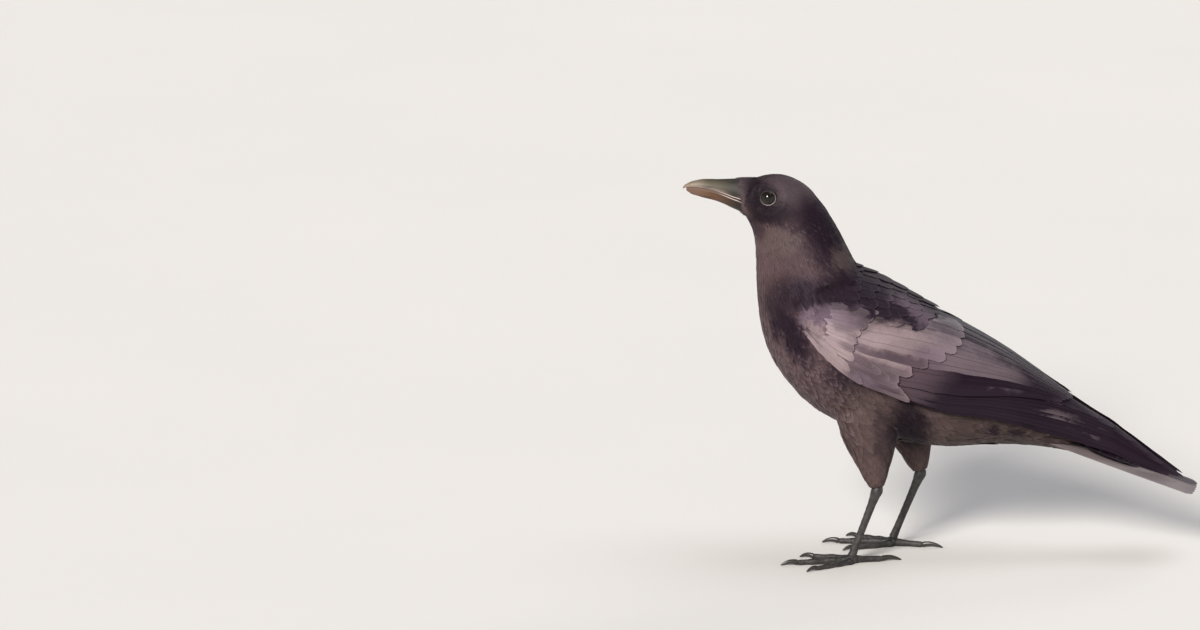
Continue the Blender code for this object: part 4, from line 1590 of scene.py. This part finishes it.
def makeRump(rng):
    look = rumpLook
    webs, t = backVane["webs"], alongVane
    xs, ys, over = [], [], []
    for number, (tip, length) in enumerate(look["rows"]):
        for share in np.linspace(-1, 1, 5 - number % 2):
            reach = length + rng.normal(0, look["stray"]) - look["tipRound"] * np.abs(webs) ** 2.2
            x = tip - length + reach[None] * t[:, None]
            middle = share * (smoothRow(look["shape"], x)[..., 1] - look["width"] / 2)
            xs.append(x)
            ys.append(middle + webs[None] * backVane["grow"][:, None] * look["width"])
            over.append(look["spineOver"] * (1 - abs(share)) + 0 * x)
    x, y, over = np.stack(xs), np.stack(ys), np.stack(over)
    crest, half, drop = np.moveaxis(smoothRow(look["shape"], x), -1, 0)
    ahead = smoothRow(look["shape"], x + 1)[..., 0]
    aside = np.clip(y / half, -1, 1)
    out = unit(np.stack((crest - ahead, 2 * drop * aside / half, 1 + 0 * x), axis=-1))
    height = over - atDepths(mantleLook["depths"]) + backVane["arch"] * (1 - webs**2)
    top = np.stack((x, y, crest - drop * aside**2), axis=-1) + out * height[..., None]
    joinBack("rump_feathers", top, out, rng)


def makeWings():
    for sideName in sides:
        rng = np.random.default_rng(5)
        for rowName, look in wingRows.items():
            piece = wingRow(sideName, rowName, look, rng)
            if "node" in look:
                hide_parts(f"wing_{sideName}_{look['node']}")
        for number, row in enumerate(mantleLook["rows"]):
            wingRow(sideName, f"mantle_{number + 1}", mantleRow(number, *row, rng), rng)
    makeSpine(np.random.default_rng(6))
    makeRump(np.random.default_rng(7))
    print("crow: wings and mantle feathered")


makeWings()


tailLook = {
    "root": (58, 0, 113.5),
    "tip": (206.8, 0, 58),
    "pairs": 6,
    "spread": (14, 31),  # half width at the root and at the tip, and so on below
    "arch": (6, 2.5),
    "rounding": 5,
    "step": 0.40,  # how far each feather lies under its inner neighbour
    "webs": (-1, -0.8, -0.5, -0.2, -0.05, 0, 0.05, 0.25, 0.55, 0.85, 1),
    "outerWeb": 5.5,
    "middleWeb": 8,  # the outer web of the two middle feathers
    "innerWeb": 11,
    "tipRound": 6,
    "stray": 0.3,
    "over": 0.9,  # how far the middle pair stands over the line from root to tip
    "webArch": 0.30,
    "shaftHeight": 0.14,
    "innerDown": 0.35,  # how far the inner web is pressed down
    "tints": (0.3, 0.6, 0.8, 0.9, 1.0, 1.0),  # the outer feathers are the palest
}


def tailFeather(side, pair, rng):
    # the upper side of one feather, and the way up from the tail
    look = tailLook
    t, webs = alongVane, np.array(look["webs"])
    start, end = np.array(look["root"]), np.array(look["tip"])
    length = np.linalg.norm(end - start)
    run = (end - start) / length
    up = np.array((-run[2], 0, run[0]))
    share = (pair + 0.35) / look["pairs"]
    outer = look["outerWeb"] if pair else look["middleWeb"]
    wide = webs * np.where(webs < 0, look["innerWeb"], outer)
    grow = 0.45 + 0.55 * np.sqrt(np.clip(t * 1.6, 0, 1))
    half = np.interp(t, (0, 1), look["spread"]) - 3
    away = half[:, None] * share + wide[None, :] * grow[:, None]
    back = look["rounding"] * share**2 + look["tipRound"] * np.abs(webs) ** 2.4
    back = back + rng.normal(0, look["stray"], len(webs))
    along = (length - back)[None, :] * t[:, None]
    edge = np.clip(away / (half[:, None] + 3), -1, 1)
    arch = np.interp(t, (0, 1), look["arch"])[:, None] * edge**2
    height = look["over"] - pair * look["step"] - arch
    height = height + look["webArch"] * (1 - webs**2)[None, :] + look["shaftHeight"] * (webs == 0)
    height = height - look["innerDown"] * np.clip(-webs, 0, 1)[None, :] + 0.05 * side * (pair == 0)
    place = start + run * along[..., None] + up * height[..., None]
    return place + np.array((0, side, 0)) * away[..., None], up


def makeTail():
    rng = np.random.default_rng(8)
    tops = []
    lows = []
    for side in (-1, 1):
        for pair in range(tailLook["pairs"]):
            place, up = tailFeather(side, pair, rng)
            place = place[:, ::side]
            tops.append(place)
            lows.append(place - up * vaneShape["thickness"])
    across = np.array(tailLook["webs"]) / 2 + 0.5
    tint = np.tile(tailLook["tints"], 2)
    grids = (np.stack(tops), np.stack(lows), across, alongVane, tint)
    finish = finishes["tail"]
    joinVanes("tail_feathers", *grids, cellsInGrid, finish, "flight_feathers", ("tail",), flip=True)
    print("crow: tail feathered")


makeTail()


billLook = {
    # x, height of the ridge or keel, height of the cutting edge, half width
    "upper": (
        (-148, 309.6, 291.0, 11.4),
        (-156, 309.5, 293.2, 9.4),
        (-163, 309.5, 294.6, 7.9),
        (-178, 309.0, 299.6, 6.2),
        (-191, 309.0, 302.4, 4.5),
        (-200, 307.2, 303.2, 2.9),
        (-205, 304.6, 302.2, 1.5),
        (-206.8, 302.6, 301.2, 0.6),
    ),
    "lower": (
        (-148, 275.6, 290.3, 11.4),
        (-156, 279.5, 292.3, 9.3),
        (-163, 283.6, 294.1, 7.5),
        (-178, 290.4, 299.2, 5.7),
        (-191, 294.0, 302.0, 3.9),
        (-200, 296.8, 302.8, 2.4),
        (-204, 299.8, 301.9, 1.2),
    ),
    "rings": 54,
    "points": 29,
    "keel": 0.035,  # how far the ridge stands up, as a share of the height
    "keelWidth": 0.20,
    "fullness": 0.80,  # under 1, the flanks are rounder than a circle's
    "inside": (0.55, 0.25),  # the shell's hollow, as shares of its width and height
}


def billPiece(name, rows, node, finish):
    # one half of the bill as a closed shell, with a sharp cutting edge and a softly keeled ridge
    rows = np.array(rows)[::-1]
    share = np.linspace(0, 1, billLook["rings"]) ** 1.35
    x = rows[0, 0] + (rows[-1, 0] - rows[0, 0]) * share
    shape = smoothRow(rows, x)
    turn = np.linspace(0, math.pi, billLook["points"])[None, :]
    ridge, edge, half = (shape[:, k : k + 1] for k in range(3))
    flank = np.sin(turn) ** billLook["fullness"]
    keel = np.exp(-(((turn - math.pi / 2) / billLook["keelWidth"]) ** 2)) * billLook["keel"]
    height = edge + (ridge - edge) * (flank * (1 - billLook["keel"]) + keel)
    wide = -half * np.cos(turn) * (1 - 0.08 * np.sin(turn * 2) ** 2)
    outer = np.stack(np.broadcast_arrays(x[:, None], wide, height), axis=-1)
    inset = outer.copy()
    inset[..., 1] *= billLook["inside"][0]
    inset[..., 2] = edge + (height - edge) * billLook["inside"][1]
    points = np.concatenate((outer, inset)).reshape(-1, 3)
    piece = newPiece(name, points, slabFaces(*height.shape), finishes[finish], "bill_horn", (node,))
    facedOut(piece, 50)
    along = (x - x[-1]) / (x[0] - x[-1])
    own = np.stack(np.broadcast_arrays(along[:, None], flank), axis=-1).reshape(-1, 2)
    loops = np.array([loop.vertex_index for loop in piece.data.loops])
    addMap(piece, "horn", np.concatenate((own, own))[loops])


billPiece("upper_bill", billLook["upper"], "bill_upper", "upperBill")
billPiece("lower_bill", billLook["lower"], "bill_lower", "lowerBill")
print("crow: bill ready")


def frameOf(axis):
    axis = unit(np.array(axis, float))
    across = unit(np.cross((0, 0, 1), axis))
    return axis, across, np.cross(axis, across)


def makeEye(sideName, side):
    look = eyeLook
    centre, gaze = eyePlace(side)
    gaze, across, up = frameOf(gaze)
    points = [centre + gaze * (look["radius"] + look["cornea"])]
    reach = [0.0]
    for i in range(1, look["rings"]):
        turn = math.pi * (i / look["rings"]) ** 1.1
        swell = look["cornea"] * math.exp(-((turn / 0.55) ** 2))
        for j in range(look["points"]):
            around = 2 * math.pi * j / look["points"]
            out = across * math.cos(around) + up * math.sin(around)
            way = gaze * math.cos(turn) + out * math.sin(turn)
            points.append(centre + way * (look["radius"] + swell))
            reach.append(turn)
    points.append(centre - gaze * look["radius"])
    reach.append(math.pi)
    ring = look["points"]
    last = len(points) - 1
    grid = 1 + np.arange(last - 1).reshape(-1, ring)
    faces = [(0, 1 + j, 1 + (j + 1) % ring) for j in range(ring)]
    faces += gridFaces(closedGrid(grid)).tolist()
    faces += [(last, last - 1 - j, last - 1 - (j + 1) % ring) for j in range(ring)]
    node = f"eye_{sideName}"
    piece = newPiece(f"eyeball_{sideName}", np.array(points), faces, finishes["eye"], "eye", (node,))
    addNumber(piece, "reach", reach)


def makeLids(sideName, side):
    # the lids hug the ball: a beaded rim round the opening, folds behind it, and the rest under the coat
    look = eyeLook
    centre, gaze = eyePlace(side)
    gaze, across, up = frameOf(gaze)
    rings, columns = look["lidRings"]
    around = 2 * math.pi * np.arange(columns) / columns
    wide, tall = look["opening"]
    start = 1 / np.sqrt((np.cos(around) / wide) ** 2 + (np.sin(around) / tall) ** 2)
    t = np.linspace(0, 1, rings)[:, None] ** 1.3
    turn = np.radians(start[None] + (look["lidEnds"] - start[None]) * t)
    past = np.degrees(turn) - start[None]  # degrees behind the rim
    beads = 1 + look["beadHeight"] * np.sin(around * look["beads"])[None]
    waves = np.cos(past * 0.9 + 0.6 * np.sin(around * 3)[None])
    places = (look["rimAt"], look["foldsAt"])
    byRim, byFolds = (np.exp(-(((past - middle) / spread) ** 2)) for middle, spread in places)
    rim = look["rim"] * beads * byRim
    folds = look["folds"] * waves * byFolds
    thick = look["lidThick"] * np.clip(past / 1.5, 0, 1) ** 0.5
    height = look["radius"] + thick + rim + folds - 0.1 * (past < 0.1)
    out = across * np.cos(around)[:, None] + up * np.sin(around)[:, None]
    points = gaze * np.cos(turn)[..., None] + out[None] * np.sin(turn)[..., None]
    points = centre + points * height[..., None]
    faces = gridFaces(closedGrid(np.arange(rings * columns).reshape(rings, columns)), flip=side > 0)
    piece = newPiece(f"eyelids_{sideName}", points.reshape(-1, 3), faces, finishes["lid"], "leg_scutes")
    addNumber(piece, "past", past.ravel())
    # painted light on the rim below and to one side, painted shade at the top under the brow
    bare = np.clip(0.42 - 0.45 * np.sin(around) - 0.22 * side * np.cos(around), 0, 1)
    addNumber(piece, "bare", np.broadcast_to(bare, past.shape).ravel())


for sideName, side in sides.items():
    makeEye(sideName, side)
    makeLids(sideName, side)
print("crow: eyes ready")


bristleLook = {
    "count": 620,
    "chin": 260,  # short ones round the root of the lower half
    "around": 1.75,  # how far round the bill from its ridge they grow, in radians
    "root": -151.5,
    "behind": 5.5,  # how far behind that line they start
    "sweep": 2.2,  # how much further forward they start for each radian round the bill
    "length": (8, 15),
    "chinLength": (3.5, 6.5),
    "width": 0.46,
    "widths": (0.8, 1.0, 1.0, 0.9, 0.7, 0.45, 0.12),  # from root to tip
    "thickness": 0.2,
    "stray": 0.07,  # in radians
    "lift": (0.25, 0.55),  # off the bill at its ends, and by how much more in its middle
    "settled": 0.6,  # the share of its length over which it comes off the skin onto the bill
}


def billRing(x, lean):
    # places on the outside of the closed bill, lean being how far round it from the ridge
    upper, lower = (smoothRow(billLook[half][::-1], x) for half in ("upper", "lower"))
    shape = np.where((np.abs(lean) > math.pi / 2)[..., None], lower, upper)
    level = np.abs(np.cos(lean)) ** billLook["fullness"]
    height = shape[..., 1] + (shape[..., 0] - shape[..., 1]) * level
    return np.stack((x, shape[..., 2] * np.sin(lean), height), axis=-1)


def makeBristles():
    # stiff narrow feathers that lie forward over the nostrils, and short ones at the chin
    look = bristleLook
    rng = np.random.default_rng(23)
    count = look["count"] + look["chin"]
    atChin = np.arange(count) >= look["count"]
    lean = rng.uniform(-1.0, 1.0, count) * look["around"]
    lean = np.where(atChin, np.sign(lean) * (math.pi - np.abs(lean)), lean)
    back = rng.uniform(0, look["behind"], count) * np.where(atChin, 0.4, 1)
    x = look["root"] - np.minimum(np.abs(lean), look["around"]) * look["sweep"] + back
    lengths = rng.uniform(*look["length"], count) * (1 - 0.30 * np.abs(lean) / look["around"])
    lengths = np.where(atChin, rng.uniform(*look["chinLength"], count), lengths)
    widths = look["width"] * np.array(look["widths"])
    t = np.linspace(0, 1, len(widths))[None, :]
    reachX = x[:, None] - lengths[:, None] * t * 0.96
    turned = lean[:, None] * (1 - 0.10 * t * ~atChin[:, None])
    turned = turned + rng.normal(0, look["stray"], count)[:, None] * t
    out = unit(np.stack((0 * turned, np.sin(turned), np.cos(turned)), axis=-1))
    ring = billRing(reachX, turned)
    roots, _ = ontoBed(ring[:, 0], out[:, 0], 8.0)
    least, more = look["lift"]
    lift = least + more * np.sin(t * math.pi) * rng.uniform(0.2, 1.2, count)[:, None]
    shafts = ring + out * lift[..., None]
    settled = np.clip(t / look["settled"], 0, 1)[..., None]
    shafts = (roots[:, None] + shafts - shafts[:, :1]) * (1 - settled) + shafts * settled
    way = unit(np.gradient(shafts, axis=1))
    sideways = unit(np.cross(out, way))
    across = np.array((-1.0, 0.0, 1.0))
    top = shafts[:, :, None] + sideways[:, :, None] * (widths[:, None] * across[None])[None, ..., None]
    top = top + out[:, :, None] * (0.12 * (1 - across**2))[None, None, :, None]
    places = patchesAt(np.stack((np.degrees(lean), x), axis=1))
    low = top - out[:, :, None] * look["thickness"]
    tint = rng.uniform(0, 0.4, count)
    joinVanes("bristles", top, low, across / 2 + 0.5, t[0], tint, places, finishes["coat"], "plumage")
    print("crow: bristles ready")


makeBristles()


legLook = {
    "ankles": {"left": (-51, -28, 60), "right": (-14, 28, 60)},
    "lean": {"left": 20, "right": 22},
    "tarsus": 59,
    "shown": (-0.07, 0.965),  # from inside the feathers down to the ball of the foot
    # share of the way down, half width, half depth
    "sections": (
        (-0.07, 3.0, 3.4),
        (0, 4.2, 4.7),
        (0.08, 3.6, 4.0),
        (0.2, 2.5, 3.3),
        (0.55, 2.3, 2.9),
        (0.85, 2.6, 3.0),
        (1.0, 3.6, 3.6),
    ),
    "scutes": 10,
    "scuteStep": 0.22,
    "ballRadius": 5.2,
    "ballHeight": 3.4,
    "ballFlatness": 0.86,
    "footTurn": 6,
    # per toe: degrees outward from straight ahead, how far outside it starts, length, joints,
    # radius at the root, length of the claw, plates
    "toes": {
        "middle": (2, 0.3, 43, 3, 3.5, 14, 13),
        "inner": (-25, -3.8, 31, 2, 3.2, 12, 10),
        "outer": (28, 4.2, 33, 3, 3.0, 11, 11),
        "hind": (186, -0.6, 24, 1, 3.5, 17, 7),
    },
    "toeTaper": 0.32,
    "toeSwell": (0.84, 0.18),  # the size between the joints, and by how much more it is at them
    "toeWidth": 0.92,
    "plateStep": 0.075,
    "padBumps": 0.05,
    "clawArch": 2.6,
    "clawBend": 1.3,  # in radians
    "clawWidth": 0.78,
    "clawSize": (0.62, 0.22),  # a share of the toe's radius at its root, and the radius of its tip
}


def tube(centres, sideways, ups, wide, tall, count, shapeAt=None, floor=False):
    # a closed tube: rings of points round a path, with an optional change of size round each ring
    turn = 2 * math.pi * (np.arange(count) + 0.5) / count
    size = np.ones((len(centres), count)) if shapeAt is None else shapeAt(turn)
    sideways, ups = (np.broadcast_to(way, centres.shape)[:, None] for way in (sideways, ups))
    across = sideways * (np.cos(turn)[None, :, None] * (wide[:, None] * size)[..., None])
    above = ups * (np.sin(turn)[None, :, None] * (tall[:, None] * size)[..., None])
    points = centres[:, None] + across + above
    if floor:
        points[..., 2] = np.maximum(points[..., 2], 0)
    grid = np.arange(size.size).reshape(size.shape)
    faces = gridFaces(closedGrid(grid), flip=True).tolist() + [grid[0, ::-1].tolist(), grid[-1].tolist()]
    return points.reshape(-1, 3), faces


def addTube(name, parts, finish, slot, replaced):
    facedOut(newPiece(name, *parts, finishes[finish], slot, (replaced,)), 60)


def sawTooth(t, count):
    # each plate swells slowly and ends in a small step
    place = (t * count) % 1
    return place**0.7 * np.clip((1 - place) / 0.12, 0, 1)


def makeTarsus(sideName):
    look = legLook
    ankle = np.array(look["ankles"][sideName], float)
    lean = math.radians(look["lean"][sideName])
    down = np.array((-math.sin(lean), 0, -math.cos(lean)))
    t = np.linspace(*look["shown"], 110)
    centres = ankle + down * (t * look["tarsus"])[:, None]
    wide, deep = smoothRow(look["sections"], t).T
    ahead = (-math.cos(lean), 0, math.sin(lean))

    def plated(turn):
        front = np.clip(np.sin(turn) * 1.6 + 0.3, 0, 1)[None, :]
        step = sawTooth(np.clip(t, 0, 1), look["scutes"])[:, None] * look["scuteStep"] / 3
        groove = np.exp(-(((np.abs(np.cos(turn)) - 0.93) / 0.06) ** 2))[None, :] * 0.03
        return 1 + step * front - groove

    parts = tube(centres, (0, 1, 0), ahead, wide, deep, 26, plated)
    addTube(f"shank_{sideName}", parts, "leg", "leg_scutes", f"tarsus_{sideName}")
    return ankle + down * look["tarsus"]


def makeFoot(sideName, side, heel):
    look = legLook
    turn = math.pi * np.linspace(0.04, 0.97, 18)
    radius = look["ballRadius"]
    height = np.maximum(look["ballHeight"] - np.cos(turn) * radius * look["ballFlatness"], 0)
    wide = np.sin(turn) * radius
    centres = np.stack((heel[0] + 0 * turn, heel[1] + 0 * turn, height), axis=1)
    parts = tube(centres, (0, 1, 0), (1, 0, 0), wide, wide, 24, floor=True)
    addTube(f"ball_{sideName}", parts, "leg", "leg_scutes", f"foot_{sideName}")
    for toe, (degrees, outside, length, joints, thick, claw, plates) in look["toes"].items():
        way = math.radians(degrees + look["footTurn"])
        run = np.array((-math.cos(way), side * math.sin(way), 0))
        start = np.array((heel[0], heel[1] + side * outside, 0))
        name = f"{sideName}_{toe}"
        makeToe(name, start, run, length, joints, thick, plates)
        makeClaw(name, start + run * (length + 1.2), run, thick, claw)


def makeToe(name, start, run, length, joints, radius, plates):
    look = legLook
    t = np.linspace(0, 1, 20 * joints + 30)
    swell = 0.5 + 0.5 * np.cos(2 * math.pi * joints * t)
    thin = radius * (1 - look["toeTaper"] * t)
    least, more = look["toeSwell"]
    thick = thin * (least + more * swell)
    wide = thick * look["toeWidth"]
    end = np.sqrt(np.clip(1 - ((t - 0.93) / 0.07).clip(0, 1) ** 2, 0.12, 1))
    centres = start + run * (length * t + 1.0)[:, None] + np.array((0, 0, 1)) * (thin * 0.85)[:, None]

    def plated(turn):
        above = np.clip(np.sin(turn) * 2.2, 0, 1)[None, :]
        below = np.clip(-np.sin(turn) * 2.2, 0, 1)[None, :]
        step = sawTooth(t, plates)[:, None] * look["plateStep"]
        bumps = np.abs(np.sin(t * math.pi * joints * 4))[:, None] * look["padBumps"]
        return 1 + step * above + bumps * below

    sideways = np.cross((0, 0, 1), run)
    parts = tube(centres, sideways, (0, 0, 1), wide * end, thick * end, 22, plated, floor=True)
    addTube(f"digit_{name}", parts, "leg", "leg_scutes", f"toe_{name}")


def makeClaw(name, start, run, radius, length):
    look = legLook
    t = np.linspace(0, 1, 20)
    forward = length * np.sin(look["clawBend"] * t) / math.sin(look["clawBend"])
    height = (look["clawArch"] * np.sin(math.pi * t) + radius * 0.6) * (1 - t) + 0.6 * t
    centres = start + run * (forward - 0.8)[:, None] + np.array((0, 0, 1)) * height[:, None]
    share, tip = look["clawSize"]
    size = radius * share * (1 - t) ** 0.75 + tip
    size = size * np.where(t < 0.04, 0.85, 1)
    sideways = np.broadcast_to(np.cross((0, 0, 1), run), centres.shape)
    ups = np.cross(unit(np.gradient(centres, axis=0)), sideways)
    parts = tube(centres, sideways, ups, size * look["clawWidth"], size, 16, floor=True)
    addTube(f"nail_{name}", parts, "claw", "claw_horn", f"claw_{name}")


for sideName, side in sides.items():
    makeFoot(sideName, side, makeTarsus(sideName))
print("crow: legs ready")


stageLook = {
    "floor": (0.66, 0.65, 0.63),
    "grain": (0.74, 0.72, 0.69),
    "reach": 30,
    "wall": (0.62, 0.64, 0.68),  # what lies round the stage, and the darker ceiling over it
    "ceiling": (0.13, 0.13, 0.15),
    "ceilingFrom": (0.12, 0.5),
    # name: the way it comes from, its softness in degrees, its strength and its colour
    "lights": {
        "key": ((-0.36, -0.80, 0.52), 18, 4.6, (1.0, 0.95, 0.88)),
        "top": ((0.35, 0.10, 0.9), 40, 0.9, (0.92, 0.94, 1.0)),
        "back": ((0.5, 0.75, 0.55), 30, 0.6, (1.0, 0.97, 0.94)),
    },
}
cameraLook = {
    "aim": (-0.2728, 0, 0.1978),
    "elevation": 13,
    "distance": 6.0,
    "lens": 225,
}


def floorFinish():
    finish = Finish("studio_floor")
    grain = finish.noise(3, 4)
    colour = finish.blend(grain * 0.35, stageLook["floor"], stageLook["grain"])
    return finish.surface(baseColor=colour, roughness=0.85)


def makeStage():
    mesh = bpy.data.meshes.new("floor")
    corners = ((-1, -1, 0), (1, -1, 0), (1, 1, 0), (-1, 1, 0))
    mesh.from_pydata([Vector(corner) * stageLook["reach"] for corner in corners], [], [(0, 1, 2, 3)])
    mesh.materials.append(floorFinish())
    floor = bpy.data.objects.new("floor", mesh)
    bpy.context.scene.collection.objects.link(floor)
    world = bpy.data.worlds.new("studio")
    world.use_nodes = True
    room = Finish("room", world.node_tree, world.node_tree.nodes["Background"])
    _, _, height = room.parts(room.node("ShaderNodeTexCoord", output="Generated"))
    above = height.rise(*stageLook["ceilingFrom"])
    room.feed(room.shader.inputs["Color"], room.blend(above, stageLook["wall"], stageLook["ceiling"]))
    bpy.context.scene.world = world
    for name, (way, softness, strength, colour) in stageLook["lights"].items():
        lamp = bpy.data.lights.new(name, "SUN")
        lamp.angle = math.radians(softness)
        lamp.energy = strength
        lamp.color = colour
        holder = bpy.data.objects.new(name, lamp)
        holder.rotation_euler = (-Vector(way)).to_track_quat("-Z", "Y").to_euler()
        bpy.context.scene.collection.objects.link(holder)


def makeCamera():
    look = cameraLook
    tilt = math.radians(look["elevation"])
    back = Vector((0, -math.cos(tilt), math.sin(tilt)))
    camera = bpy.data.objects.new("camera", bpy.data.cameras.new("camera"))
    camera.data.lens = look["lens"]
    camera.data.sensor_width = 36
    camera.data.clip_end = 60
    camera.location = Vector(look["aim"]) + back * look["distance"]
    camera.rotation_euler = (math.pi / 2 - tilt, 0, 0)
    bpy.context.scene.collection.objects.link(camera)
    bpy.context.scene.camera = camera


makeStage()
makeCamera()
bpy.context.scene.view_settings.view_transform = "Standard"
print("crow: stage ready")
